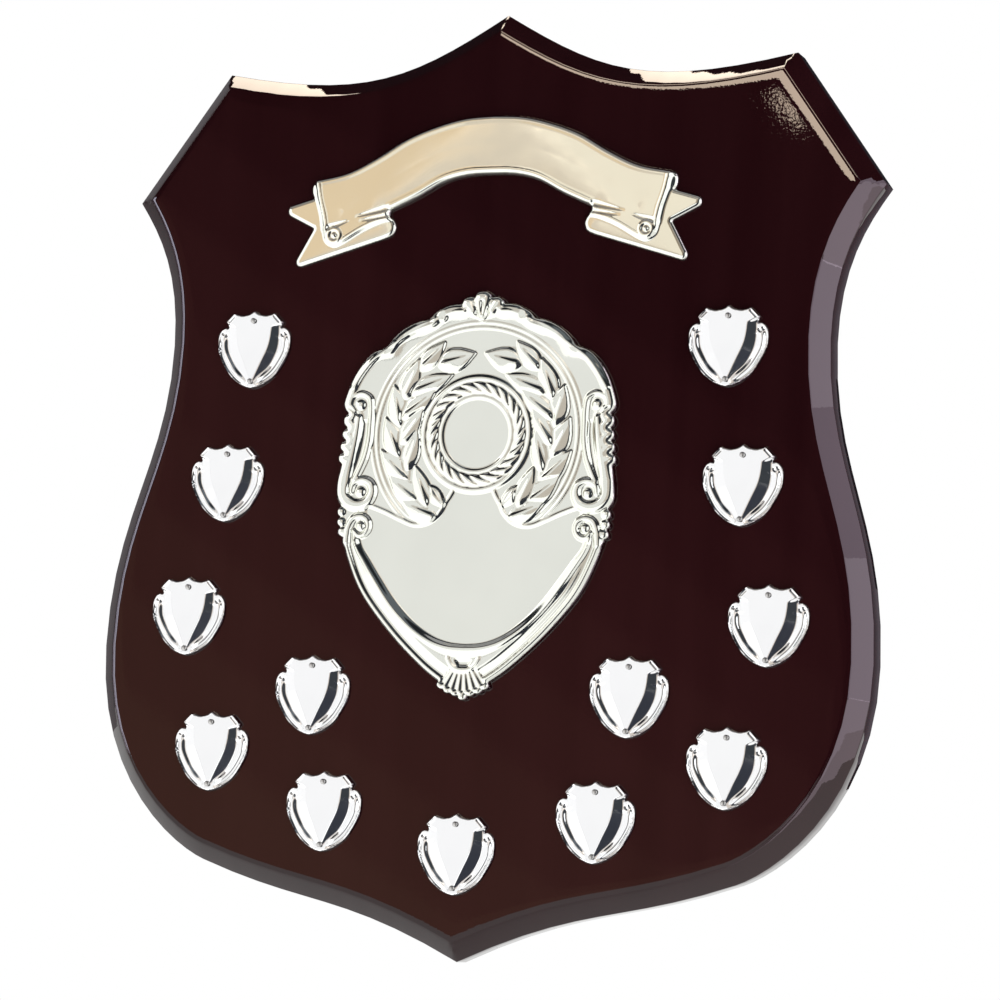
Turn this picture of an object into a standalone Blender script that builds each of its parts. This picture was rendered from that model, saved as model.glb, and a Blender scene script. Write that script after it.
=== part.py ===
"""Award shield plaque: a bevelled wooden shield board that carries stamped metal appliques.

Sizes and places are in millimetres and are turned into metres when a mesh is made. X runs to the
right, Z runs up, and the front looks along -Y. The flat back lies in the plane Y = 0, and the origin
is on it, behind the centre of the centre shield's round disc.

The stamped pieces are reliefs. Each has an outline, and a height above its flat back that is worked
out from strokes, leaves, beads and rings. The relief is sampled on a fine square grid and then
decimated, so that the triangles stay where the form needs them.
"""

import math

import bmesh
import bpy
import numpy as np
from mathutils import Vector

MM = 0.001

# Board: 12 inches high, with a 45 degree bevel
BOARD_THICKNESS = 14.2
BEVEL_WIDTH = 5.7
BEVEL_DEPTH = 6.0
ARRIS_RADIUS = 0.5
TOP_POINT = (0.0, 138.4)
TOP_CORNER = (98.4, 122.3)
SHOULDER = (128.9, 79.3)
WAIST = (113.2, 30.9)
BULGE = (131.2, -69.7)
HIP = (90.6, -138.3)
FOOT_POINT = (0.0, -166.6)

# Fit of the appliques on the board
SEAT_GAP = 0.3
SEAT_Y = -(BOARD_THICKNESS + SEAT_GAP)

# Centre shield
DISC_RADIUS = 11.1
ROPE_INNER = 13.0
ROPE_OUTER = 16.9
ROPE_STRANDS = 24
COLLAR_RADIUS = 19.2
BORDER_RADIUS = 35.2
SHELL_HUB = (0.0, -70.0)
SHELL_STEP = math.radians(12.2)
SHELL_RIBS = 7
CENTRE_EDGE = 1.3
CENTRE_FIELD = 1.0
CENTRE_CREST = 3.2
CENTRE_SHEET = 1.5
RELIEF_SHARE = 0.62
LEAF_CROWN = 0.55
LEAF_LIFT = 0.3
LEAF_FACET = 1.6
LEAF_STEEP = 0.95

# Scroll
SCROLL_EDGE = 0.35
SCROLL_TAIL = 1.1
SCROLL_BAND = 1.9
SCROLL_ROUNDING = 1.4
CURL = (53.7, 65.3)

# Side shields and their pins
SIDE_CENTRES = (
    (-80.7, 28.0), (82.1, 27.9), (-87.3, -16.1), (88.9, -15.8), (-98.3, -59.9), (99.2, -59.1),
    (-86.9, -103.6), (87.9, -103.1), (-52.3, -84.4), (55.2, -82.2), (-45.9, -121.4), (46.2, -121.3),
    (0.3, -133.1))
SIDE_EDGE = 0.5
SIDE_FIELD = 1.7
SIDE_STEEP = 0.4
PIN_RADIUS = 0.9
PIN_HEIGHT = 0.7
PIN_TOP_Z = 9.4
PIN_FOOT_Z = -10.6

# Grid steps and triangle counts of the stamped pieces
CENTRE_GRID = 0.42
CENTRE_TRIANGLES = 4400
SCROLL_GRID = 0.5
SCROLL_TRIANGLES = 1000
SIDE_GRID = 0.3
SIDE_TRIANGLES = 170

# Outlines and paths


def bezier(start, start_handle, end_handle, end, steps):
    """Points of one cubic curve, without its last point."""
    t = np.arange(steps)[:, None] / steps
    corners = [np.array(p, float) for p in (start, start_handle, end_handle, end)]
    weights = ((1 - t) ** 3, 3 * (1 - t) ** 2 * t, 3 * (1 - t) * t ** 2, t ** 3)
    return sum(w * c for w, c in zip(weights, corners))


def leaning(point, angle, length):
    """The point that lies a length away from another, at an angle in degrees from +X."""
    turn = math.radians(angle)
    return (point[0] + length * math.cos(turn), point[1] + length * math.sin(turn))


def smooth_path(points, steps=8):
    """A Catmull-Rom curve through the points, both ends included."""
    p = np.array([points[0], *points, points[-1]], float)
    t = np.arange(steps)[:, None] / steps
    pieces = []
    for a, b, c, d in zip(p, p[1:], p[2:], p[3:]):
        curve = 2 * b + (c - a) * t + (2 * a - 5 * b + 4 * c - d) * t ** 2 + (3 * b - a - 3 * c + d) * t ** 3
        pieces.append(0.5 * curve)
    return np.concatenate([*pieces, p[-1:]])


def arc(start, end, bulge, steps=6):
    """A round arc between two points that swells to the left of its run by the bulge."""
    a, b = np.array(start, float), np.array(end, float)
    t = np.arange(steps + 1)[:, None] / steps
    chord = b - a
    left = np.array([-chord[1], chord[0]]) / np.linalg.norm(chord)
    half = np.linalg.norm(chord) / 2
    radius = (half ** 2 + bulge ** 2) / (2 * abs(bulge))
    spread = math.asin(min(1.0, half / radius)) * (2 * t - 1)
    along = radius * np.sin(spread)
    rise = math.copysign(1, bulge) * (radius * np.cos(spread) - (radius - abs(bulge)))
    return (a + b) / 2 + along * chord / (2 * half) + rise * left


def chain(*runs):
    """Runs of points joined end to end, without the points that two runs share."""
    joined = [np.array(p, float) for run in runs for p in run]
    kept = [p for p, q in zip(joined, joined[1:] + joined[:1]) if np.linalg.norm(p - q) > 0.02]
    return np.array(kept)


def mirrored(half):
    """A closed outline from its right half, which runs from the top of the axis to its foot."""
    other = half[::-1] * (-1, 1)
    return chain(half, other)


def spiral(centre, start_radius, end_radius, start_angle, turns, steps=22):
    """A volute's path, from its eye outwards, with angles in degrees."""
    t = np.linspace(0, 1, steps)
    angle = math.radians(start_angle) + t * turns * 2 * math.pi
    radius = start_radius + (end_radius - start_radius) * t
    return np.stack([centre[0] + radius * np.cos(angle), centre[1] + radius * np.sin(angle)], 1)


# Heights over a grid: x and z are arrays of places, and every function returns or changes an array


def distance_to(x, z, path, closed=False):
    """Distance of each place from a run of straight pieces, and how far along it the nearest point is."""
    path = np.array(path, float)
    ends = np.roll(path, -1, axis=0) if closed else path[1:]
    starts = path if closed else path[:-1]
    nearest = np.full(x.shape, 1e9)
    along = np.zeros(x.shape)
    for i, (a, b) in enumerate(zip(starts, ends)):
        run = b - a
        length = run @ run
        t = np.clip(((x - a[0]) * run[0] + (z - a[1]) * run[1]) / max(length, 1e-12), 0, 1)
        gap = np.hypot(x - a[0] - t * run[0], z - a[1] - t * run[1])
        closer = gap < nearest
        nearest = np.where(closer, gap, nearest)
        along = np.where(closer, (i + t) / len(starts), along)
    return nearest, along


def inside(x, z, outline):
    """True for each place that lies inside a closed outline."""
    result = np.zeros(x.shape, bool)
    for (ax, az), (bx, bz) in zip(outline, np.roll(outline, -1, axis=0)):
        if az == bz:
            continue
        crosses = (az > z) != (bz > z)
        result ^= crosses & (x < (bx - ax) * (z - az) / (bz - az) + ax)
    return result


def signed_distance(x, z, outline):
    """Distance from a closed outline, positive inside it."""
    gap, _ = distance_to(x, z, outline, closed=True)
    return np.where(inside(x, z, outline), gap, -gap)


def ramp(value, start, end):
    """0 before start, 1 after end, and an even S between them."""
    t = np.clip((value - start) / (end - start), 0, 1)
    return t * t * (3 - 2 * t)


def bell(gap, half_width):
    """A round bead's section: 1 on its crest and 0 from half a width away."""
    t = np.clip(np.abs(gap) / half_width, 0, 1)
    return (1 - t * t) ** 1.5


def dome(gap, half_width):
    """A fuller section than a bell, for straps and leaves."""
    t = np.clip(np.abs(gap) / half_width, 0, 1)
    return np.sqrt(1 - t * t)


def stroke(x, z, path, half_width):
    """The places close to a path, their distance from it and the half width where they are.

    The half width is one number, or two for a path that tapers from its start to its end.
    """
    start_width, end_width = np.broadcast_to(half_width, 2)
    reach = max(start_width, end_width)
    low = np.min(path, axis=0) - reach
    high = np.max(path, axis=0) + reach
    spot = (x > low[0]) & (x < high[0]) & (z > low[1]) & (z < high[1])
    gap, along = distance_to(x[spot], z[spot], path)
    return spot, gap, start_width + (end_width - start_width) * along


def add_bead(height, x, z, path, half_width, rise):
    """Raise a rounded line along a path, or sink one by a negative rise. It flattens as it narrows."""
    spot, gap, width = stroke(x, z, path, half_width)
    height[spot] += rise * width / np.max(half_width) * bell(gap, width)


def add_strap(height, x, z, path, half_width, level, crown):
    """Lay a crowned strap over what is there: its edges are at the level and its middle is higher."""
    spot, gap, width = stroke(x, z, path, half_width)
    strap = np.where(gap < width, level + crown * dome(gap, width), 0)
    height[spot] = np.maximum(height[spot], strap)


def add_leaf(height, x, z, base, tip, half_width, level):
    """Lay a pointed leaf over what is there: its lower half rises to a rib with a steep facet above."""
    base, tip = np.array(base, float), np.array(tip, float)
    length = np.linalg.norm(tip - base)
    run = (tip - base) / length
    along = ((x - base[0]) * run[0] + (z - base[1]) * run[1]) / length
    across = (x - base[0]) * run[1] - (z - base[1]) * run[0]
    t = np.clip(along, 0, 1)
    width = half_width * np.sin(math.pi * t ** 0.8) + 0.001
    on_leaf = (along > 0) & (along < 1) & (np.abs(across) < width)
    upward = across * math.copysign(1, -run[0])
    facet = LEAF_FACET * np.clip(1 - t / 0.8, 0, 1) * ramp(t, 0, 0.2) + 0.01
    side = np.where(upward > 0, 1 - upward / facet, 1 + upward / width)
    blade = level + LEAF_LIFT * t + LEAF_CROWN * dome(across, width) * (0.5 + 0.5 * np.sin(math.pi * t))
    height[on_leaf] = (blade + LEAF_STEEP * facet * np.clip(side, 0, 1))[on_leaf]


def add_ball(height, x, z, centre, radius, level):
    """Set a round bead of the given radius so that its crown stands a radius above the level."""
    gap = np.hypot(x - centre[0], z - centre[1])
    spot = gap < radius
    height[spot] = np.maximum(height, level + radius * dome(gap, radius))[spot]


# Meshes


def relief_mesh(name, outline, height_of, step, edge_height):
    """A closed mesh in millimetres: a relief over a square grid that is cut along the outline.

    The grid's cells are cut where the outline crosses them. The rim drops straight to the flat back.
    """
    low = outline.min(axis=0) - step
    counts = np.ceil((outline.max(axis=0) + step - low) / step).astype(int) + 1
    xs = low[0] + step * np.arange(counts[0])
    zs = low[1] + step * np.arange(counts[1])
    x, z = np.meshgrid(xs, zs, indexing="ij")
    depth = signed_distance(x, z, outline)
    height = height_of(x, z, depth)

    mesh = bpy.data.meshes.new(name)
    bm = bmesh.new()
    corners = {}
    for i, j in zip(*np.nonzero(depth > 0)):
        corners[i, j] = bm.verts.new((x[i, j], -height[i, j], z[i, j]))
    crossings = {}

    def crossing(p, q):
        """The vertex where the outline cuts the grid edge between an inner and an outer corner."""
        key = (p, q)
        if key not in crossings:
            t = min(0.92, max(0.08, depth[p] / (depth[p] - depth[q])))
            place = (x[p] + t * (x[q] - x[p]), -edge_height, z[p] + t * (z[q] - z[p]))
            crossings[key] = bm.verts.new(place)
        return crossings[key]

    sign = depth > 0
    touched = sign[:-1, :-1] | sign[1:, :-1] | sign[1:, 1:] | sign[:-1, 1:]
    for i, j in zip(*np.nonzero(touched)):
        loop = ((i, j), (i + 1, j), (i + 1, j + 1), (i, j + 1))
        face = []
        for p, q in zip(loop, loop[1:] + loop[:1]):
            if sign[p]:
                face.append(corners[p])
            if sign[p] != sign[q]:
                face.append(crossing(p, q) if sign[p] else crossing(q, p))
        if len(face) > 2:
            bm.faces.new(face)

    rim = [edge for edge in bm.edges if edge.is_boundary]
    wall = bmesh.ops.extrude_edge_only(bm, edges=rim)
    for vert in (item for item in wall["geom"] if isinstance(item, bmesh.types.BMVert)):
        vert.co.y = 0
    bmesh.ops.holes_fill(bm, edges=[edge for edge in bm.edges if edge.is_boundary], sides=0)
    bmesh.ops.recalc_face_normals(bm, faces=bm.faces)
    bm.to_mesh(mesh)
    bm.free()
    return mesh


def decimated(mesh, triangles):
    """The same relief with about so many triangles, in metres."""
    helper = bpy.data.objects.new("helper", mesh)
    bpy.context.collection.objects.link(helper)
    total = sum(len(face.vertices) - 2 for face in mesh.polygons)
    thinner = helper.modifiers.new("thinner", "DECIMATE")
    thinner.ratio = triangles / total
    thinner.use_collapse_triangulate = True
    graph = bpy.context.evaluated_depsgraph_get()
    result = bpy.data.meshes.new_from_object(helper.evaluated_get(graph))
    bpy.data.objects.remove(helper)
    for vert in result.vertices:
        vert.co = vert.co * MM
    return result


def finish(name, mesh, material, place=(0, 0, 0), sharp=40):
    """Put a mesh in the scene as the object of that name."""
    if not mesh.materials:
        mesh.materials.append(material)
    mesh.shade_smooth()
    mesh.set_sharp_from_angle(angle=math.radians(sharp))
    part = bpy.data.objects.new(name, mesh)
    part.location = Vector(place) * MM
    bpy.context.collection.objects.link(part)
    return part


def principled(name, colour, roughness, metallic):
    """A plain material for one kind of surface."""
    material = bpy.data.materials.new(name)
    material.use_nodes = True
    shader = material.node_tree.nodes["Principled BSDF"]
    shader.inputs["Base Color"].default_value = (*colour, 1)
    shader.inputs["Roughness"].default_value = roughness
    shader.inputs["Metallic"].default_value = metallic
    material.diffuse_color = (*colour, 1)
    return material


# Board


def board_outline():
    """The board's outer outline: two hollow arcs at the top, a waist, a bulge and an ogee foot."""
    half = chain(
        bezier(TOP_POINT, leaning(TOP_POINT, -31, 38), leaning(TOP_CORNER, 191.2, 51.5), TOP_CORNER, 14),
        [TOP_CORNER],
        bezier(SHOULDER, leaning(SHOULDER, 234.4, 14), leaning(WAIST, 90, 24.1), WAIST, 8),
        bezier(WAIST, leaning(WAIST, -90, 40.5), leaning(BULGE, 90, 45.1), BULGE, 10),
        bezier(BULGE, leaning(BULGE, -90, 46.1), leaning(HIP, 19.8, 10.1), HIP, 12),
        bezier(HIP, leaning(HIP, 199.8, 40.3), leaning(FOOT_POINT, 25.9, 45.7), FOOT_POINT, 10),
        [FOOT_POINT])
    return mirrored(half)


def inset(outline, distance):
    """A closed outline moved inwards, with its corners mitred."""
    before = outline - np.roll(outline, 1, axis=0)
    after = np.roll(outline, -1, axis=0) - outline
    inward = []
    for edge in (before, after):
        unit = edge / np.linalg.norm(edge, axis=1, keepdims=True)
        inward.append(np.stack([unit[:, 1], -unit[:, 0]], 1))
    mitre = (inward[0] + inward[1]) / (1 + (inward[0] * inward[1]).sum(1, keepdims=True))
    return outline + distance * mitre


def board_mesh():
    """The board, lofted from its back edge to the flat front inside the bevel."""
    outline = board_outline()
    bevel = math.atan2(BEVEL_DEPTH, BEVEL_WIDTH)
    soften = ARRIS_RADIUS * math.tan(bevel / 2)
    wall_height = BOARD_THICKNESS - BEVEL_DEPTH
    section = [(0, 0), (0, wall_height),
               (BEVEL_WIDTH - soften * math.cos(bevel), BOARD_THICKNESS - soften * math.sin(bevel)),
               (BEVEL_WIDTH + soften, BOARD_THICKNESS)]
    bm = bmesh.new()
    rings = []
    for distance, front in section:
        ring = inset(outline, distance)
        rings.append([bm.verts.new((px * MM, -front * MM, pz * MM)) for px, pz in ring])
    for lower, upper in zip(rings, rings[1:]):
        for k in range(len(lower)):
            after = (k + 1) % len(lower)
            bm.faces.new((lower[k], lower[after], upper[after], upper[k]))
    bm.faces.new(rings[0])
    bm.faces.new(rings[-1])
    bmesh.ops.recalc_face_normals(bm, faces=bm.faces)
    mesh = bpy.data.meshes.new("board")
    bm.to_mesh(mesh)
    bm.free()
    return mesh


# Scroll


def scroll_outline():
    """Right half: the band's arched top, the swallow tail, the fold's round end and the band's foot."""
    half = chain(
        smooth_path([(0, 103.7), (10, 103.1), (20, 100.7), (30, 96.9), (40, 91.1), (50, 86.4), (60, 84.3)]),
        arc((60, 84.3), (63.1, 81.2), 0.9),
        smooth_path([(63.1, 81.2), (62.9, 79.5), (62.2, 78.0)], 3),
        [(62.2, 78.0), (69.6, 75.9)],
        arc((69.6, 75.9), (70.0, 72.1), 1.5),
        [(70.0, 72.1), (62.0, 68.1), (61.9, 67.6)],
        arc((67.2, 57.9), (65.6, 55.3), 0.9),
        [(65.6, 55.3), (36.4, 64.0)],
        smooth_path([(36.4, 64.0), (33.6, 65.3), (32.5, 67.6), (33.2, 69.8), (34.6, 71.6), (34.6, 73.1)], 4),
        smooth_path([(34.6, 73.1), (25, 77.4), (16, 82.1), (8, 84.0), (0, 84.3)]))
    return mirrored(half)


def scroll_height(x, z, depth):
    """The front band stands above the tails, and the whole scroll rounds down to its edge."""
    x = np.abs(x)
    fold = smooth_path([(61.3, 86), (60.7, 82), (59.6, 77), (58.1, 72), (57.2, 67.5)])
    under = smooth_path([(57.2, 67.5), (56.4, 64), (54, 62.4), (51.2, 63.2), (44, 67.3), (38, 69.8),
                         (34, 70.6)])
    band = chain([(-9, 112), (61.3, 112)], fold, under, [(34, 74), (-9, 74)])
    front = signed_distance(x, z, band)
    height = SCROLL_TAIL + (SCROLL_BAND - SCROLL_TAIL) * ramp(front, -0.8, 0.6)
    height = height + 0.35 * dome(depth - 8, 8)
    height = height + 0.2 * bell(depth - SCROLL_ROUNDING, 1.2) * (front > -0.5)
    add_bead(height, x, z, fold, 1.5, 0.3)
    add_bead(height, x, z, under, 1.0, 0.3)
    add_bead(height, x, z, [(46.0, 71.4), (35.6, 73.9)], (0.3, 1.3), -0.6)
    add_bead(height, x, z, [(44.5, 70.0), (35.6, 71.3)], (0.3, 1.0), -0.5)
    add_bead(height, x, z, [(48.8, 70.1), (55.6, 67.9)], (0.3, 1.2), -0.6)
    curl = np.hypot(x - CURL[0], z - CURL[1])
    height = np.where(curl < 3.0, 1.9 + 0.7 * bell(curl - 2.1, 1.1), height)
    add_ball(height, x, z, CURL, 1.1, 1.6)
    rounded = dome(SCROLL_ROUNDING - np.clip(depth, 0, SCROLL_ROUNDING), SCROLL_ROUNDING)
    return SCROLL_EDGE + (height - SCROLL_EDGE) * rounded


# Centre shield


def bead_row(cusps, bulge):
    """An outline's run of round lobes between the cusps that part them."""
    return chain(*[arc(a, b, bulge) for a, b in zip(cusps, cusps[1:])], [cusps[-1]])[:-1]


def shell_places(radius, angles):
    """Places on a fan round the shell's hub, with angles measured from straight down."""
    return [(SHELL_HUB[0] + radius * math.sin(a), SHELL_HUB[1] - radius * math.cos(a)) for a in angles]


def centre_outline():
    """Right half: finial, three scalloped arcs, beads, strap, beads, the long lower side and the shell."""
    cusp_angles = [SHELL_STEP * (3.5 - k) for k in range(4)]
    half = chain(
        arc((0, 46.1), (2.9, 44.2), 0.8),
        arc((2.9, 44.2), (7.4, 42.1), 1.2),
        arc((7.4, 42.1), (18.2, 37.5), 1.5),
        arc((18.2, 37.5), (32.5, 28.6), 1.9),
        smooth_path([(32.5, 28.6), (38.2, 25.9), (43.3, 19.2), (46.4, 11), (46.2, 8.3), (44.9, 6.7)], 4),
        bead_row([(44.9, 6.7), (45.0, 2.0), (45.3, -2.1), (45.8, -6.0), (46.3, -9.8)], 1.4),
        smooth_path([(46.3, -9.8), (47.0, -14), (47.4, -18), (47.2, -20.8), (45.5, -23.6)], 4),
        bead_row([(45.5, -23.6), (45.4, -27.0), (45.2, -30.2), (44.8, -33.3)], 1.3),
        smooth_path([(44.8, -33.3), (42.5, -40), (38.8, -48.2), (34, -55.3), (25, -65.3), (15, -74.3),
                     (8.5, -78.9)], 5),
        bead_row([*shell_places(13.2, cusp_angles), *shell_places(14.7, [0])], 0.7))
    return mirrored(half)


# The engraving plate's lower edge, the line outside the moulding next to it, and the wreath's foot
PLATE_EDGE = ((37.6, -35.0), (34, -40.1), (30, -45.7), (25, -52.3), (20, -57.7), (15, -61.9), (10, -64.9),
              (5, -66.5), (0, -67.0))
CREST_LINE = ((39.9, -36.2), (36.5, -42.1), (32.3, -48.2), (27, -55.4), (21, -61.5), (15, -66.2),
              (10, -69.2), (5, -71.0), (0, -71.4))
FOOT_EDGE = ((36.2, -22.9), (30, -25.1), (25, -27.3), (20.5, -29.0), (17, -29.1), (13.5, -27.8),
             (10.8, -25.2), (9.4, -22.4), (8.0, -20.2), (7.0, -18.3))

# Laurel leaves of the right branch, from its tip to its foot: base, tip and half width
INNER_LEAVES = (
    ((14.6, 22.0), (1.4, 26.2), 3.9), ((23.4, 12.8), (8.8, 19.4), 3.3), ((26.4, 4.4), (14.3, 14.6), 3.2),
    ((26.2, -4.0), (18.4, 8.6), 3.0), ((23.4, -12.6), (20.0, 2.0), 2.8), ((15.2, -24.0), (20.4, -10.0), 2.9))
OUTER_LEAVES = (
    ((20.8, 20.2), (12.2, 30.0), 3.1), ((26.0, 10.4), (21.0, 24.6), 3.3), ((26.2, 1.8), (29.2, 16.2), 3.4),
    ((25.8, -8.4), (31.6, 5.6), 3.5), ((21.6, -16.8), (32.7, -5.0), 3.6), ((17.6, -23.0), (29.4, -13.4), 3.7),
    ((11.6, -27.4), (24.6, -21.6), 3.5), ((16.6, -16.6), (9.0, -23.8), 2.4))
BRANCH = ((12, 24.0), (21, 18), (25.3, 9), (26.4, -1), (24.8, -11), (19.5, -19), (14, -25))

# The big and the small volute beside the plate's upper corners
VOLUTE_EYE = (38.9, -18.9)
SMALL_VOLUTE_EYE = (38.3, -29.8)


def lower_mouldings(x, z, depth):
    """The mouldings round the engraving plate: slope and roll next to it, two steps, groove and edge bead."""
    plate_side = smooth_path([(37.9, -29), *PLATE_EDGE], 5)
    crest_side = smooth_path([(41.5, -29), *CREST_LINE], 5)
    plate = chain([(-9, 0), (36.5, 0), (36.5, -24)], plate_side, [(-9, -67)])
    crest = chain([(-9, 0), (41.5, 0), (41.5, -24)], crest_side, [(-9, -71.4)])
    outside_plate = -signed_distance(x, z, plate)
    inside_crest = signed_distance(x, z, crest)
    across = outside_plate / np.maximum(outside_plate + inside_crest, 0.01)
    slope_share = 0.3 + 0.65 * ramp(x, 0, 25)
    roll = CENTRE_FIELD + (CENTRE_CREST - CENTRE_FIELD) * ramp(across / slope_share, 0, 1)
    roll = roll - 0.5 * ramp(across, slope_share, 1.1)
    steps = 1.3 + 0.6 * ramp(depth, 2.5, 4.4) + 0.7 * ramp(depth, 4.6, 5.5)
    outer = np.maximum(steps, 2.5 * bell(depth - 1.25, 1.6))
    height = np.where(outside_plate < 0, CENTRE_FIELD, np.where(inside_crest > 0, roll, outer))
    height = height - 0.35 * bell(inside_crest, 0.45) * (outside_plate > 0)
    corner = ramp(x, 36, 37.5) * ramp(z, -35, -30)
    return height + (1.4 - height) * corner


def frame_height(x, z, depth):
    """The frame between the edge and the round field: a rounded edge, a thin line and a dished cove."""
    ring = np.hypot(x, z) - BORDER_RADIUS
    across = np.clip(ring / np.maximum(ring + depth - 2.8, 0.01), 0, 1)
    cove = CENTRE_FIELD + 1.3 * across ** 1.6
    edge = CENTRE_FIELD + 1.9 * dome(2.6 - np.minimum(depth, 2.6), 2.6)
    upper = np.where(depth < 2.6, edge, np.maximum(cove, edge - 0.8 * ramp(depth, 2.6, 3.3)))
    upper = np.where(depth > 3.3, cove, upper)
    corner = ramp(x, 41, 43) * ramp(-z, 15, 21)
    upper = upper + (1.4 - upper) * corner
    under_foot = chain([(48, -23.4)], FOOT_EDGE, [(-9, -18.3), (-9, -90), (48, -90)])
    return np.where(inside(x, z, under_foot), lower_mouldings(x, z, depth), upper)


def add_wreath(height, x, z):
    """The right branch: a mound along its stem, and the leaves over it."""
    add_bead(height, x, z, smooth_path(BRANCH), (5.0, 7.0), 0.8)
    for base, tip, half_width in OUTER_LEAVES + INNER_LEAVES:
        add_leaf(height, x, z, base, tip, half_width, 1.5)


def add_rings(height, x, z):
    """The disc's rim, the rope, its collar and the round border of the wreath."""
    radius = np.hypot(x, z)
    angle = np.arctan2(z, x)
    middle = (ROPE_INNER + ROPE_OUTER) / 2
    half = (ROPE_OUTER - ROPE_INNER) / 2
    collar = radius < COLLAR_RADIUS
    height[collar] = 1.1 + 0.8 * bell(radius - 18.0, 1.3)[collar]
    rim = radius < ROPE_INNER
    height[rim] = CENTRE_FIELD + 0.65 * bell(radius - DISC_RADIUS - 1, 1.1)[rim]
    twist = np.abs(np.sin(ROPE_STRANDS * angle / 2 - 1.1 * (radius - middle))) ** 0.5
    rope = np.abs(radius - middle) < half
    height[rope] = (1.1 + (0.3 + 1.2 * twist) * dome(radius - middle, half))[rope]
    border = bell(radius - BORDER_RADIUS - 0.85, 0.8) + bell(radius - BORDER_RADIUS + 0.85, 0.8)
    height += 0.45 * border * ramp(z, -29, -25)


def add_finial(height, x, z):
    """The three-lobed finial, the lines inside the first two scallops and the small curl between them."""
    add_strap(height, x, z, [(3.2, 39.8), (5.0, 42.1)], (1.4, 2.2), 1.5, 1.7)
    add_strap(height, x, z, [(0, 38.6), (0, 43.3)], (1.4, 3.0), 1.9, 1.8)
    add_bead(height, x, z, [(0, 42.4), (0, 38.6)], (0.9, 0.5), -1.3)
    first = [(0, 36.8), (4.5, 39.0), (8.5, 39.4), (12.0, 38.4)]
    second = [(14, 36.8), (20, 34.3), (28, 30.2), (35, 25.6), (39.5, 20.5), (43.6, 14.8)]
    add_bead(height, x, z, smooth_path(first), 0.8, 0.5)
    add_bead(height, x, z, smooth_path(second), 0.8, 0.5)
    add_bead(height, x, z, smooth_path([(16, 37.2), (22, 34.9), (29, 30.6)]), (0.8, 0.4), 0.5)
    add_strap(height, x, z, spiral((13.4, 38.1), 0.3, 1.7, 60, 1.1), (0.6, 0.8), 2.0, 0.9)


def add_sides(height, x, z):
    """The upper curl, the straps round the drop-shaped hollow, the two volutes and the beads."""
    inner_strap = smooth_path([(44.1, 8.6), (43.4, 11.7), (40.4, 13.2), (37.5, 11.8), (36.7, 8.5),
                               (36.7, 3), (36.9, -2), (37.8, -7), (39.3, -11), (41.2, -15)])
    outer_strap = smooth_path([(40.9, 5.6), (41.6, 0), (42.8, -6), (44.0, -11), (44.8, -15)])
    big_turn = smooth_path([(44.8, -15), (44.8, -19.4), (42.8, -22.2), (39.4, -23.1), (36.2, -21.8),
                            (34.8, -18.8), (35.7, -16), (38.6, -14.9), (41.3, -16.2), (42.0, -18.8)])
    small_turn = smooth_path([(42.9, -35), (42.4, -30.5), (40.8, -27.5), (38.2, -26.7), (36.1, -27.8),
                              (35.4, -30), (36.4, -32.2), (38.6, -32.9), (40.4, -31.4)])
    side_beads = ((45.0, 4.3), (45.2, 0.0), (45.8, -4.0), (46.0, -7.9), (45.3, -25.3), (45.1, -28.6),
                  (44.5, -31.7))
    hollow = smooth_path([(38.7, 3.4), (38.8, 0), (39.5, -5), (40.7, -10), (42.0, -14)])
    add_bead(height, x, z, hollow, (1.4, 0.8), -0.8)
    add_strap(height, x, z, inner_strap, (0.8, 1.0), 1.7, 1.1)
    add_strap(height, x, z, outer_strap, (1.1, 2.4), 1.5, 1.5)
    add_strap(height, x, z, big_turn, (2.4, 0.8), 1.6, 1.4)
    add_ball(height, x, z, VOLUTE_EYE, 1.8, 1.0)
    add_strap(height, x, z, small_turn, (1.3, 0.7), 1.6, 1.2)
    add_ball(height, x, z, SMALL_VOLUTE_EYE, 1.5, 1.2)
    add_ball(height, x, z, (40.6, 9.4), 2.0, 0.8)
    add_bead(height, x, z, [(40.4, 5.8), (44.4, 8.4)], 0.5, -0.6)
    for centre in side_beads:
        add_ball(height, x, z, centre, 1.75, 0.8)


def add_shell(height, x, z):
    """The fluted shell at the foot, its hub and the small hollow above it."""
    spread = SHELL_STEP * 3.4
    fan = chain([(-9, -75)], shell_places(5.5, [0, spread]), shell_places(12.6, [spread, 0]), [(-9, -82)])
    height[:] = np.where(inside(x, z, fan), 2.3, height)
    for k in range(SHELL_RIBS // 2 + 1):
        start, flute_end, end = (shell_places(r, [k * SHELL_STEP])[0] for r in (5.6, 11.4, 12.6 + (k == 0)))
        add_ball(height, x, z, end, 1.45, 1.2)
        add_bead(height, x, z, [start, flute_end], (0.6, 1.05), -0.85)
    hub = smooth_path([(0, -75.3), (2.4, -74.9), (4.2, -73.4), (5.3, -71.5)])
    add_strap(height, x, z, hub, 0.8, 2.1, 0.9)
    hollow = [(0, -71.8), (3.2, -71.8), (1.6, -74.2), (-1.6, -74.2), (-3.2, -71.8)]
    height -= 1.1 * ramp(signed_distance(x, z, np.array(hollow)), -0.1, 0.6)


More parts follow.
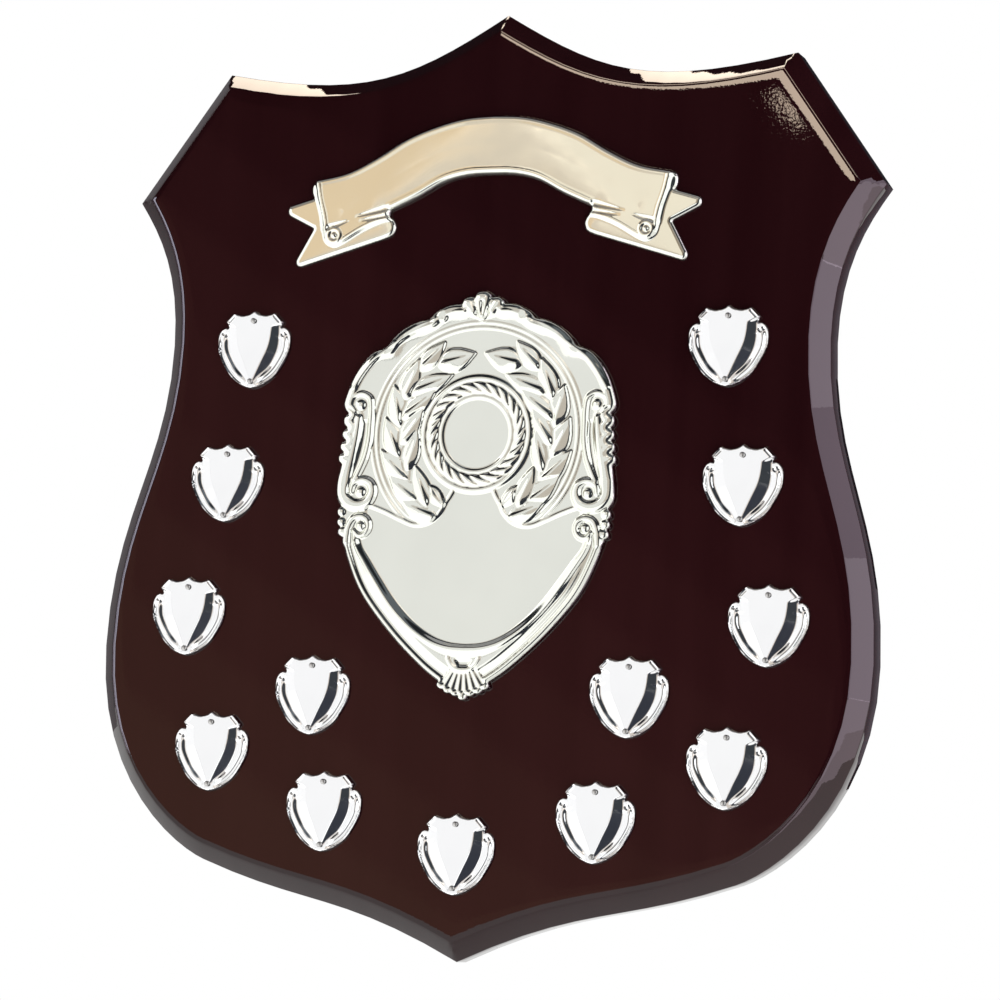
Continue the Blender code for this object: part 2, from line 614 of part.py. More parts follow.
def centre_height(x, z, depth):
    """The whole relief of the centre shield. All but the rope's twist is the same on both sides."""
    right = np.abs(x)
    height = frame_height(right, z, depth)
    foot = chain([(-9, 40), (40, 40), (40, -23)], FOOT_EDGE, [(-9, -18.3)])
    field = (np.hypot(x, z) < BORDER_RADIUS) & inside(right, z, foot)
    height[field] = CENTRE_FIELD
    wreath = height.copy()
    add_wreath(wreath, right, z)
    height[field] = wreath[field]
    add_bead(height, right, z, smooth_path(FOOT_EDGE), 0.8, 0.6)
    add_rings(height, x, z)
    add_finial(height, right, z)
    add_sides(height, right, z)
    add_shell(height, right, z)
    sheet = CENTRE_SHEET + RELIEF_SHARE * (height - CENTRE_FIELD)
    return np.minimum(sheet, CENTRE_EDGE + 1.9 * dome(1.1 - np.minimum(depth, 1.1), 1.1))


# Side shields


def side_outline():
    """Right half: peak, hollow arc, cut corner, notch, round ear and the curved side to the foot."""
    half = chain(
        smooth_path([(0, 12.9), (1.6, 11.8), (4.2, 11.3), (6.2, 11.7), (7.3, 12.1)], 4),
        [(7.3, 12.1), (10.2, 9.1), (9.3, 7.6)],
        smooth_path([(9.6, 6.9), (10.9, 7.1), (12.3, 5.8), (12.9, 3.5), (12.5, -0.8), (10.2, -5.4), (7.8, -8.6),
                     (4.9, -11.0), (2.1, -12.4), (0, -12.9)], 4))
    return mirrored(half)


def side_height(x, z, depth):
    """A flat field that runs out to the top edge. Its sides slope evenly down to a strap and a thin rim."""
    x = np.abs(x)
    field = chain([(-20, 16), (6.3, 16)],
                  smooth_path([(6.3, 7.4), (5.9, 3.4), (5.0, 0), (2.9, -4.6), (0.1, -11.0)], 5),
                  [(-20, -11.0)])
    sloped = chain([(-20, 16), (8.9, 16)],
                   smooth_path([(8.9, 7.4), (8.9, 2.6), (8.0, -1.4), (5.3, -6.4), (0.2, -11.2)], 5),
                   [(-20, -11.2)])
    outside_field = np.maximum(-signed_distance(x, z, field), 0)
    outside_slope = np.maximum(-signed_distance(x, z, sloped), 0)
    top = z > 7.3 + 0.4 * (x - 6.3)
    height = SIDE_FIELD - np.where(top, 0, SIDE_STEEP * (outside_field - outside_slope))
    below_ears = ramp(-z, -5.5, -2) * ramp(x, 1.5, 5)
    height = height + 0.6 * bell(depth - 2.0, 1.4) * below_ears
    height = height - 0.5 * bell(depth - 0.85, 0.55) * below_ears
    add_bead(height, x, z, [(11.1, 5.6), (11.4, 5.3)], 0.5, -0.4)
    add_bead(height, x, z, [(9.9, 5.1), (10.2, 4.7)], 0.5, -0.4)
    add_bead(height, x, z, [(7.2, 11.0), (9.1, 9.1)], 0.5, -0.35)
    return np.minimum(height, SIDE_EDGE + 1.6 * dome(0.7 - np.clip(depth, 0, 0.7), 0.7))


def pin_mesh():
    """The domed head of a pin."""
    bm = bmesh.new()
    sides = 8
    profile = ((PIN_RADIUS, 0), (PIN_RADIUS, 0.25), (PIN_RADIUS * 0.62, PIN_HEIGHT))
    rings = []
    for radius, front in profile:
        ring = []
        for k in range(sides):
            turn = 2 * math.pi * k / sides
            place = Vector((radius * math.cos(turn), -front, radius * math.sin(turn)))
            ring.append(bm.verts.new(place * MM))
        rings.append(ring)
    for lower, upper in zip(rings, rings[1:]):
        for k in range(sides):
            after = (k + 1) % sides
            bm.faces.new((lower[k], lower[after], upper[after], upper[k]))
    bm.faces.new(rings[0])
    bm.faces.new(rings[-1])
    bmesh.ops.recalc_face_normals(bm, faces=bm.faces)
    mesh = bpy.data.meshes.new("pin")
    bm.to_mesh(mesh)
    bm.free()
    return mesh


def build():
    """Make every piece of the plaque."""
    for item in list(bpy.data.objects):
        bpy.data.objects.remove(item)
    wood = principled("dark lacquered wood", (0.02, 0.005, 0.005), 0.12, 0)
    silver = principled("silver plate", (0.78, 0.76, 0.72), 0.12, 1)
    nickel = principled("nickel plate", (0.82, 0.82, 0.84), 0.1, 1)
    steel = principled("steel pin", (0.7, 0.7, 0.72), 0.2, 1)

    finish("board", board_mesh(), wood, sharp=20)
    seat = (0, SEAT_Y, 0)
    centre = relief_mesh("centre_shield", centre_outline(), centre_height, CENTRE_GRID, CENTRE_EDGE)
    finish("centre_shield", decimated(centre, CENTRE_TRIANGLES), silver, seat)
    scroll = relief_mesh("scroll", scroll_outline(), scroll_height, SCROLL_GRID, SCROLL_EDGE)
    finish("scroll", decimated(scroll, SCROLL_TRIANGLES), silver, seat)

    side_relief = relief_mesh("side_shield", side_outline(), side_height, SIDE_GRID, SIDE_EDGE)
    side = decimated(side_relief, SIDE_TRIANGLES)
    pin = pin_mesh()
    for number, (cx, cz) in enumerate(SIDE_CENTRES, start=1):
        finish(f"side_shield_{number:02d}", side, nickel, (cx, SEAT_Y, cz))
        pin_y = SEAT_Y - SIDE_FIELD - SEAT_GAP
        finish(f"pin_{number:02d}_top", pin, steel, (cx, pin_y, cz + PIN_TOP_Z))
        finish(f"pin_{number:02d}_foot", pin, steel, (cx, pin_y, cz + PIN_FOOT_Z))


build()
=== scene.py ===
"""Looks of the award shield plaque: plated reliefs on a lacquered board, in a plain pale studio.

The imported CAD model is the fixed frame. Reliefs are worked out in millimetres on a fine grid, as in the
part's own source, and then turned into metres. X runs to the right, Z up, and the front looks along -Y.
"""

import math

import bpy
import numpy as np
from mathutils import Matrix, Vector, geometry


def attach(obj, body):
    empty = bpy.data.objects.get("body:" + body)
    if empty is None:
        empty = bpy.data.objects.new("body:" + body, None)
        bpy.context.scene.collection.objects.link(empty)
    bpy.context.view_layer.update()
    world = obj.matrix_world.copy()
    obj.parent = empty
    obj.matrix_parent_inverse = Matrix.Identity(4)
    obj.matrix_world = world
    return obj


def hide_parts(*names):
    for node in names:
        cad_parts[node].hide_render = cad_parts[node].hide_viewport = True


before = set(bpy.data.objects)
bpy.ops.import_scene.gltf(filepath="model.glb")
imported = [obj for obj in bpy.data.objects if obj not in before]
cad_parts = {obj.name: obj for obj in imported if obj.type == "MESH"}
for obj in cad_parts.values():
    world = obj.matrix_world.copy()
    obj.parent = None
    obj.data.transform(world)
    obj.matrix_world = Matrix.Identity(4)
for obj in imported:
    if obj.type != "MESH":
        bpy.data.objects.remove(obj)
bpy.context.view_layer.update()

MM = 0.001

# Board, in millimetres: 12 inches high, with a bevel of about 45 degrees
BOARD_THICKNESS = 14.2
BEVEL_WIDTH = 5.7
BEVEL_DEPTH = 6.0
ARRIS_RADIUS = 0.5
TOP_POINT = (0.0, 138.4)
TOP_CORNER = (98.4, 122.3)
SHOULDER = (128.9, 79.3)
WAIST = (113.2, 30.9)
BULGE = (131.2, -69.7)
HIP = (90.6, -138.3)
FOOT_POINT = (0.0, -166.6)

# Fit of the appliques on the board
SEAT_GAP = 0.3
SEAT_Y = -(BOARD_THICKNESS + SEAT_GAP)

# Centre shield
DISC_RADIUS = 11.1
ROPE_INNER = 13.0
ROPE_OUTER = 16.9
ROPE_STRANDS = 24
COLLAR_RADIUS = 19.2
BORDER_RADIUS = 35.2
SHELL_HUB = (0.0, -70.0)
SHELL_STEP = math.radians(12.2)
SHELL_RIBS = 7
SHELL_REACH = 12.6
CENTRE_EDGE = 1.3
CENTRE_FIELD = 1.0
CENTRE_CREST = 3.2
CENTRE_SHEET = 1.5
RELIEF_SHARE = 0.62
LEAF_CROWN = 0.55
LEAF_LIFT = 0.3
LEAF_FACET = 1.6
LEAF_STEEP = 0.95

# Scroll
SCROLL_EDGE = 0.35
SCROLL_TAIL = 1.1
SCROLL_BAND = 1.9
SCROLL_ROUNDING = 1.4
CURL = (53.7, 65.3)

# Side shields and their pins
SIDE_CENTRES = (
    (-80.7, 28.0), (82.1, 27.9), (-87.3, -16.1), (88.9, -15.8), (-98.3, -59.9), (99.2, -59.1),
    (-86.9, -103.6), (87.9, -103.1), (-52.3, -84.4), (55.2, -82.2), (-45.9, -121.4), (46.2, -121.3),
    (0.3, -133.1))
SIDE_EDGE = 0.5
SIDE_FIELD = 1.7
SIDE_STEEP = 0.4
PIN_RADIUS = 0.9
PIN_HEIGHT = 0.7
PIN_TOP_Z = 9.4
PIN_FOOT_Z = -10.6

# Points nearer than the gap are one point, and no squared length counts as less than tiny
JOIN_GAP = 0.02
TINY = 1e-12

# Stamped pieces: grid steps, softening passes, and the least share of a step on either side of a cut
CENTRE_STEP = 0.34
SCROLL_STEP = 0.34
SIDE_STEP = 0.25
SOFT_PASSES = 2
CUT_MARGIN = 0.08

# Board's finish: eased edges, and lacquer that rolls off towards the bevel
OUTLINE_STEP = 2.0
BACK_EASE = 0.5
BACK_MARGIN = 1.0
ARRIS_STEPS = 4
BEVEL_RINGS = (1.2, 2.4, 3.6, 4.6)
ROLL_WIDTH = 4.3
ROLL_DROP = 0.11
ROLL_RINGS = 5
BEVEL_SWELL = 0.12
FRONT_GRID = 3.0
NET_GAP = 1e-5
GRID_X = (-130, 131)
GRID_Z = (-165, 140)

# A pin's round head: straight foot as a share of its height, and the steps of its turned section
PIN_FOOT = 0.3
PIN_SIDES = 20
PIN_RISE = 5

# Materials: colours are linear, noise scales are in cells for each metre, and heights in metres.
# A noise's values lie mostly between its low and its high
NOISE_LOW = 0.3
NOISE_HIGH = 0.7
WOOD_STOPS = ((0.35, (0.0099, 0.0018, 0.0023)), (0.68, (0.0122, 0.0026, 0.0031)))
WOOD_ROUGHNESS = (0.38, 0.5)
COAT_ROUGHNESS = 0.015
PEEL_HEIGHT = 0.0000045
SILVER = (0.79, 0.80, 0.735)
SILVER_WAVE = 0.000006
NICKEL = (0.95, 0.95, 0.955)
NICKEL_WAVE = 0.000004
TARNISH = 0.965
POLISH_ROUGHNESS = (0.05, 0.11)
STEEL = (0.5, 0.49, 0.48)
PALE_PAINT = (0.9, 0.9, 0.89)
# Colour of the dark sheet that only the metal mirrors: painted dark reflection, not a real cloth
DARK_REFLECTION_COLOUR = (0.009, 0.012, 0.023)

# Camera, solved from the photograph's own perspective
CAMERA_PLACE = (0.417759, -1.043578, -0.151777)
CAMERA_YAW = 0.378386
CAMERA_PITCH = 0.117687
CAMERA_ROLL = -0.054699
CAMERA_LENS = 126.78
SENSOR = 36.0

# Studio, in metres: lamps stand on a sphere round the plaque, over a floor that carries a dark sheet that
# only the metal mirrors, as painted dark reflection.
# A glow is a lamp that lies on the floor, with its middle and its size
CARD_DISTANCE = 4.0
STUDIO_MIDDLE = Vector((0.0, -0.014, -0.014))
FLOOR_Z = -0.36
FLOOR_SIZE = 6.0
# Corners of that dark sheet, in front and to the right, where the metal's slopes mirror it as painted dark
# reflection
DARK_REFLECTION_CORNERS = ((0.02, -0.25), (0.26, -2.99), (2.10, -2.90), (0.20, -0.25))
FLOOR_LIFT = 0.002
LEFT_GLOW = ((-1.45, -1.0), (2.9, 4.0))
RIGHT_GLOW = ((2.1, -0.55), (1.8, 2.1))
BOARD_GLOW_FAR = ((1.7, -0.78), (3.2, 1.08))
BOARD_GLOW_NEAR = ((1.7, -0.185), (3.2, 0.11))

# The warm room that the lacquer mirrors at its lower left: each step lies further in, and is browner
ROOM_STEPS = 8
ROOM_TOWARDS = ((-25.94, -3.24), (-32.42, -13.32))
ROOM_SPANS = (30, 30)
ROOM_LEAN = -32.7
ROOM_RADIANCE = (0.07, 0.098)
ROOM_COLOURS = ((1.0, 0.27, 0.28), (1.0, 0.72, 0.40))

# The floor's own sun, and the dim even light from everywhere else
SUN_STRENGTH = 3.6
SUN_WIDTH = math.radians(40)
DIM_WORLD = (0.018, 0.02, 0.024)

# Outlines and paths


def bezier(start, start_handle, end_handle, end, steps):
    """Points of one cubic curve, without its last point."""
    t = np.arange(steps)[:, None] / steps
    corners = [np.array(p, float) for p in (start, start_handle, end_handle, end)]
    weights = ((1 - t) ** 3, 3 * (1 - t) ** 2 * t, 3 * (1 - t) * t ** 2, t ** 3)
    return sum(w * c for w, c in zip(weights, corners))


def leaning(point, angle, length):
    """The point that lies a length away from another, at an angle in degrees from +X."""
    turn = math.radians(angle)
    return (point[0] + length * math.cos(turn), point[1] + length * math.sin(turn))


def smooth_path(points, steps=8):
    """A Catmull-Rom curve through the points, both ends included."""
    p = np.array([points[0], *points, points[-1]], float)
    t = np.arange(steps)[:, None] / steps
    pieces = []
    for a, b, c, d in zip(p, p[1:], p[2:], p[3:]):
        square = 2 * a - 5 * b + 4 * c - d
        cube = 3 * b - a - 3 * c + d
        pieces.append(0.5 * (2 * b + (c - a) * t + square * t ** 2 + cube * t ** 3))
    return np.concatenate([*pieces, p[-1:]])


def arc(start, end, bulge, steps=6):
    """A round arc between two points that swells to the left of its run by the bulge."""
    a, b = np.array(start, float), np.array(end, float)
    t = np.arange(steps + 1)[:, None] / steps
    chord = b - a
    left = np.array([-chord[1], chord[0]]) / np.linalg.norm(chord)
    half = np.linalg.norm(chord) / 2
    radius = (half ** 2 + bulge ** 2) / (2 * abs(bulge))
    turn = math.asin(min(1.0, half / radius)) * (2 * t - 1)
    along = radius * np.sin(turn)
    rise = math.copysign(1, bulge) * (radius * np.cos(turn) - (radius - abs(bulge)))
    return (a + b) / 2 + along * chord / (2 * half) + rise * left


def chain(*runs):
    """Runs of points joined end to end, without the points that two runs share."""
    joined = [np.array(p, float) for run in runs for p in run]
    kept = [p for p, q in zip(joined, joined[1:] + joined[:1]) if np.linalg.norm(p - q) > JOIN_GAP]
    return np.array(kept)


def mirrored(half):
    """A closed outline from its right half, which runs from the top of the axis to its foot."""
    other = half[::-1] * (-1, 1)
    return chain(half, other)


def spiral(centre, start_radius, end_radius, start_angle, turns, steps=22):
    """A volute's path, from its eye outwards, with angles in degrees."""
    t = np.linspace(0, 1, steps)
    angle = math.radians(start_angle) + t * turns * 2 * math.pi
    radius = start_radius + (end_radius - start_radius) * t
    return np.stack([centre[0] + radius * np.cos(angle), centre[1] + radius * np.sin(angle)], 1)


# Heights over a grid: x and z are arrays of places, and every function returns or changes an array


def distance_to(x, z, path, closed=False):
    """Distance of each place from a run of straight pieces, and how far along it the nearest point is."""
    path = np.array(path, float)
    ends = np.roll(path, -1, axis=0) if closed else path[1:]
    starts = path if closed else path[:-1]
    nearest = np.full(x.shape, np.inf)
    along = np.zeros(x.shape)
    for i, (a, b) in enumerate(zip(starts, ends)):
        run = b - a
        length = run @ run
        t = np.clip(((x - a[0]) * run[0] + (z - a[1]) * run[1]) / max(length, TINY), 0, 1)
        gap = np.hypot(x - a[0] - t * run[0], z - a[1] - t * run[1])
        closer = gap < nearest
        nearest = np.where(closer, gap, nearest)
        along = np.where(closer, (i + t) / len(starts), along)
    return nearest, along


def inside(x, z, outline):
    """True for each place that lies inside a closed outline."""
    result = np.zeros(x.shape, bool)
    for (ax, az), (bx, bz) in zip(outline, np.roll(outline, -1, axis=0)):
        if az == bz:
            continue
        crosses = (az > z) != (bz > z)
        result ^= crosses & (x < (bx - ax) * (z - az) / (bz - az) + ax)
    return result


def signed_distance(x, z, outline):
    """Distance from a closed outline, positive inside it."""
    gap, _ = distance_to(x, z, outline, closed=True)
    return np.where(inside(x, z, outline), gap, -gap)


def ramp(value, start, end):
    """0 before start, 1 after end, and an even S between them."""
    t = np.clip((value - start) / (end - start), 0, 1)
    return t * t * (3 - 2 * t)


def bell(gap, half_width):
    """A round bead's section: 1 on its crest and 0 from half a width away."""
    t = np.clip(np.abs(gap) / half_width, 0, 1)
    return (1 - t * t) ** 1.5


def dome(gap, half_width):
    """A fuller section than a bell, for straps and leaves."""
    t = np.clip(np.abs(gap) / half_width, 0, 1)
    return np.sqrt(1 - t * t)


def stroke(x, z, path, half_width):
    """The places close to a path, their distance from it and the half width where they are.

    The half width is one number, or two for a path that tapers from its start to its end.
    """
    start_width, end_width = np.broadcast_to(half_width, 2)
    reach = max(start_width, end_width)
    low = np.min(path, axis=0) - reach
    high = np.max(path, axis=0) + reach
    spot = (x > low[0]) & (x < high[0]) & (z > low[1]) & (z < high[1])
    gap, along = distance_to(x[spot], z[spot], path)
    return spot, gap, start_width + (end_width - start_width) * along


def add_bead(height, x, z, path, half_width, rise):
    """Raise a rounded line along a path, or sink one by a negative rise. It flattens as it narrows."""
    spot, gap, width = stroke(x, z, path, half_width)
    height[spot] += rise * width / np.max(half_width) * bell(gap, width)


def add_strap(height, x, z, path, half_width, level, crown):
    """Lay a crowned strap over what is there: its edges are at the level and its middle is higher."""
    spot, gap, width = stroke(x, z, path, half_width)
    strap = np.where(gap < width, level + crown * dome(gap, width), 0)
    height[spot] = np.maximum(height[spot], strap)


def add_leaf(height, x, z, base, tip, half_width, level):
    """Lay a pointed leaf over what is there: its lower half rises to a rib with a steep facet above."""
    base, tip = np.array(base, float), np.array(tip, float)
    length = np.linalg.norm(tip - base)
    run = (tip - base) / length
    along = ((x - base[0]) * run[0] + (z - base[1]) * run[1]) / length
    across = (x - base[0]) * run[1] - (z - base[1]) * run[0]
    t = np.clip(along, 0, 1)
    width = half_width * np.sin(math.pi * t ** 0.8) + 0.001
    on_leaf = (along > 0) & (along < 1) & (np.abs(across) < width)
    upward = across * math.copysign(1, -run[0])
    facet = LEAF_FACET * np.clip(1 - t / 0.8, 0, 1) * ramp(t, 0, 0.2) + 0.01
    side = np.where(upward > 0, 1 - upward / facet, 1 + upward / width)
    blade = level + LEAF_LIFT * t + LEAF_CROWN * dome(across, width) * (0.5 + 0.5 * np.sin(math.pi * t))
    height[on_leaf] = (blade + LEAF_STEEP * facet * np.clip(side, 0, 1))[on_leaf]


def add_ball(height, x, z, centre, radius, level):
    """Set a round bead of the given radius so that its crown stands a radius above the level."""
    gap = np.hypot(x - centre[0], z - centre[1])
    spot = gap < radius
    height[spot] = np.maximum(height, level + radius * dome(gap, radius))[spot]


# Fine meshes of the stamped pieces


def softened(height, passes):
    """The heights after a few passes of a small even blur, as thin sheet rounds off under a stamp."""
    for _ in range(passes):
        padded = np.pad(height, 1, mode="edge")
        rows = (padded[:-2] + 2 * padded[1:-1] + padded[2:]) / 4
        height = (rows[:, :-2] + 2 * rows[:, 1:-1] + rows[:, 2:]) / 4
    return height


def sampled_relief(outline, height_of, step):
    """A square grid's places, depths inside the outline and heights, softened at half the grid's step."""
    half_step = step / 2
    low = outline.min(axis=0) - step
    counts = 2 * np.ceil((outline.max(axis=0) + step - low) / step).astype(int) + 1
    fine_x, fine_z = np.meshgrid(low[0] + half_step * np.arange(counts[0]),
                                 low[1] + half_step * np.arange(counts[1]), indexing="ij")
    fine_depth = signed_distance(fine_x, fine_z, outline)
    fine_height = softened(height_of(fine_x, fine_z, fine_depth), SOFT_PASSES)
    return [values[::2, ::2] for values in (fine_x, fine_z, fine_depth, fine_height)]


def cut_relief(x, z, depth, height, edge_height):
    """The relief's points and faces, cut where the outline crosses the grid, and the first cut point."""
    sign = depth > 0
    front = {}
    points = []
    for p in zip(*np.nonzero(sign)):
        front[p] = len(points)
        points.append((x[p], -height[p], z[p]))
    rim_start = len(points)

    def crossing(p, q):
        """The number of the vertex where the outline cuts the grid edge from inner p to outer q."""
        if (p, q) not in front:
            t = min(1 - CUT_MARGIN, max(CUT_MARGIN, depth[p] / (depth[p] - depth[q])))
            front[p, q] = len(points)
            points.append((x[p] + t * (x[q] - x[p]), -edge_height, z[p] + t * (z[q] - z[p])))
        return front[p, q]

    faces = []
    touched = sign[:-1, :-1] | sign[1:, :-1] | sign[1:, 1:] | sign[:-1, 1:]
    for i, j in zip(*np.nonzero(touched)):
        corners = ((i, j), (i + 1, j), (i + 1, j + 1), (i, j + 1))
        face = []
        for p, q in zip(corners, corners[1:] + corners[:1]):
            if sign[p]:
                face.append(front[p])
            if sign[p] != sign[q]:
                face.append(crossing(p, q) if sign[p] else crossing(q, p))
        if len(face) > 2:
            faces.append(face)
    return points, faces, rim_start


def wall_and_back(points, faces, rim_start):
    """Add the points of the wall's foot, and return the faces of the wall and of the flat back."""
    following = {}
    for face in faces:
        for a, b in zip(face, face[1:] + face[:1]):
            if a >= rim_start and b >= rim_start:
                following[a] = b
    back_of = {a: len(points) + k for k, a in enumerate(following)}
    points += [(points[a][0], 0, points[a][2]) for a in following]
    walls = [(b, a, back_of[a], back_of[b]) for a, b in following.items()]
    start = next(iter(following))
    back = [back_of[start]]
    turn = following[start]
    while turn != start:
        back.append(back_of[turn])
        turn = following[turn]
    return walls + [back[::-1]]


def relief_mesh(name, outline, height_of, step, edge_height):
    """A closed mesh in metres: a relief over a square grid, cut along the outline, with a flat back."""
    grid = sampled_relief(outline, height_of, step)
    points, faces, rim_start = cut_relief(*grid, edge_height)
    faces += wall_and_back(points, faces, rim_start)
    mesh = bpy.data.meshes.new(name)
    mesh.from_pydata([Vector(p) * MM for p in points], [], faces)
    mesh.validate()
    return mesh


# Board


def board_outline():
    """The board's outer outline: two hollow arcs at the top, a waist, a bulge and an ogee foot."""
    half = chain(
        bezier(TOP_POINT, leaning(TOP_POINT, -31, 38), leaning(TOP_CORNER, 191.2, 51.5), TOP_CORNER, 14),
        [TOP_CORNER],
        bezier(SHOULDER, leaning(SHOULDER, 234.4, 14), leaning(WAIST, 90, 24.1), WAIST, 8),
        bezier(WAIST, leaning(WAIST, -90, 40.5), leaning(BULGE, 90, 45.1), BULGE, 10),
        bezier(BULGE, leaning(BULGE, -90, 46.1), leaning(HIP, 19.8, 10.1), HIP, 12),
        bezier(HIP, leaning(HIP, 199.8, 40.3), leaning(FOOT_POINT, 25.9, 45.7), FOOT_POINT, 10),
        [FOOT_POINT])
    return mirrored(half)


def inset(outline, distance):
    """A closed outline moved inwards, with its corners mitred."""
    before = outline - np.roll(outline, 1, axis=0)
    after = np.roll(outline, -1, axis=0) - outline
    inward = []
    for edge in (before, after):
        unit = edge / np.linalg.norm(edge, axis=1, keepdims=True)
        inward.append(np.stack([unit[:, 1], -unit[:, 0]], 1))
    mitre = (inward[0] + inward[1]) / (1 + (inward[0] * inward[1]).sum(1, keepdims=True))
    return outline + distance * mitre


def dense(outline, step):
    """A closed outline with points no further apart than the step."""
    runs = []
    for a, b in zip(outline, np.roll(outline, -1, axis=0)):
        count = max(1, math.ceil(np.linalg.norm(b - a) / step))
        t = np.arange(count)[:, None] / count
        runs.append(a + (b - a) * t)
    return np.concatenate(runs)


def inner_ring(outline, distance):
    """The outline moved inwards, without the points that a corner cuts off."""
    ring = inset(outline, distance)
    gap, _ = distance_to(ring[:, 0], ring[:, 1], outline, closed=True)
    return ring[gap > distance - JOIN_GAP]


def board_height(depth):
    """How high the board stands, at a depth inside the outline past the outer arris."""
    across = np.clip(depth / BEVEL_WIDTH, 0, 1)
    bevel = BOARD_THICKNESS - BEVEL_DEPTH * (1 - across) + BEVEL_SWELL * 4 * across * (1 - across)
    bevel = np.minimum(bevel, BOARD_THICKNESS - ROLL_DROP)
    roll = np.clip(1 - (depth - BEVEL_WIDTH) / ROLL_WIDTH, 0, 1)
    flat = BOARD_THICKNESS - ROLL_DROP * roll ** 2
    rounding = np.clip((depth - BEVEL_WIDTH + ARRIS_RADIUS) / (2 * ARRIS_RADIUS), 0, 1)
    edge_drop = 0.5 * ARRIS_RADIUS * rounding * (1 - rounding)
    return np.where(depth < BEVEL_WIDTH, bevel, flat) - edge_drop


def board_section():
    """The section from the back to the bevel's foot: distances inside the outline, and heights."""
    slope = math.atan2(BEVEL_DEPTH, BEVEL_WIDTH)
    quarter = math.pi / 2 - slope
    wall_top = BOARD_THICKNESS - BEVEL_DEPTH - ARRIS_RADIUS * math.tan(quarter / 2)
    middle_ease = BACK_EASE * 0.3
    section = [(BACK_EASE + BACK_MARGIN, 0), (BACK_EASE, 0), (middle_ease, middle_ease), (0, BACK_EASE),
               (0, wall_top)]
    for k in range(1, ARRIS_STEPS + 1):
        turn = quarter * k / ARRIS_STEPS
        section.append((ARRIS_RADIUS * (1 - math.cos(turn)), wall_top + ARRIS_RADIUS * math.sin(turn)))
    return section


def ring_faces(rings, count):
    """Faces between rings of as many points each, and one that closes the first ring."""
    faces = []
    for start in range(0, (rings - 1) * count, count):
        for k in range(count):
            a, b = start + k, start + (k + 1) % count
            faces.append((a, b, b + count, a + count))
    faces.append(tuple(range(count))[::-1])
    return faces


def front_rings(outline, rim_distance):
    """The rings that the front's net follows: the rim, the bevel, the inner arris and the roll."""
    arris = [BEVEL_WIDTH + ARRIS_RADIUS * (k / ARRIS_STEPS) for k in range(-ARRIS_STEPS, ARRIS_STEPS + 1)]
    roll_width = ROLL_WIDTH - ARRIS_RADIUS
    roll = [BEVEL_WIDTH + ARRIS_RADIUS + roll_width * k / ROLL_RINGS for k in range(1, ROLL_RINGS + 1)]
    return [inset(outline, rim_distance)] + [inner_ring(outline, d) for d in (*BEVEL_RINGS, *arris, *roll)]


def front_net(rings):
    """Places and triangles over the whole front, with an even grid inside the innermost ring."""
    places = []
    edges = []
    for ring in rings:
        start = len(places)
        places += [Vector(p) for p in ring]
        edges += [(start + k, start + (k + 1) % len(ring)) for k in range(len(ring))]
    grid_x, grid_z = np.meshgrid(np.arange(*GRID_X, FRONT_GRID), np.arange(*GRID_Z, FRONT_GRID))
    grid_depth = signed_distance(grid_x, grid_z, board_outline())
    inner = grid_depth > BEVEL_WIDTH + ROLL_WIDTH + FRONT_GRID / 2
    places += [Vector((px, pz)) for px, pz in zip(grid_x[inner], grid_z[inner])]
    only_inside = 1
    flat_places, _, triangles, *_ = geometry.delaunay_2d_cdt(places, edges, [], only_inside, NET_GAP)
    return np.array([(p.x, p.y) for p in flat_places]), triangles


def board_piece_mesh():
    """The whole board: eased back edge, wall, rounded arris, bevel, and a front that rolls off."""
    outline = dense(board_outline(), OUTLINE_STEP)
    section = board_section()
    points = [(px, -front, pz) for distance, front in section for px, pz in inset(outline, distance)]
    faces = ring_faces(len(section), len(outline))
    first_rim = len(points) - len(outline)
    rim_distance, _ = section[-1]
    flat, triangles = front_net(front_rings(outline, rim_distance))
    depth, _ = distance_to(flat[:, 0], flat[:, 1], outline, closed=True)
    front = board_height(depth)
    inner = slice(len(outline), None)
    points += [(px, -height, pz) for (px, pz), height in zip(flat[inner], front[inner])]
    faces += [tuple(first_rim + k for k in triangle) for triangle in triangles]
    mesh = bpy.data.meshes.new("board_finish")
    mesh.from_pydata([Vector(p) * MM for p in points], [], faces)
    return mesh


# Scroll


def scroll_outline():
    """Right half: the band's arched top, the swallow tail, the fold's round end and the band's foot."""
    half = chain(
        smooth_path([(0, 103.7), (10, 103.1), (20, 100.7), (30, 96.9), (40, 91.1), (50, 86.4),
                     (60, 84.3)]),
        arc((60, 84.3), (63.1, 81.2), 0.9),
        smooth_path([(63.1, 81.2), (62.9, 79.5), (62.2, 78.0)], 3),
        [(62.2, 78.0), (69.6, 75.9)],
        arc((69.6, 75.9), (70.0, 72.1), 1.5),
        [(70.0, 72.1), (62.0, 68.1), (61.9, 67.6)],
        arc((67.2, 57.9), (65.6, 55.3), 0.9),
        [(65.6, 55.3), (36.4, 64.0)],
        smooth_path([(36.4, 64.0), (33.6, 65.3), (32.5, 67.6), (33.2, 69.8), (34.6, 71.6),
                     (34.6, 73.1)], 4),
        smooth_path([(34.6, 73.1), (25, 77.4), (16, 82.1), (8, 84.0), (0, 84.3)]))
    return mirrored(half)


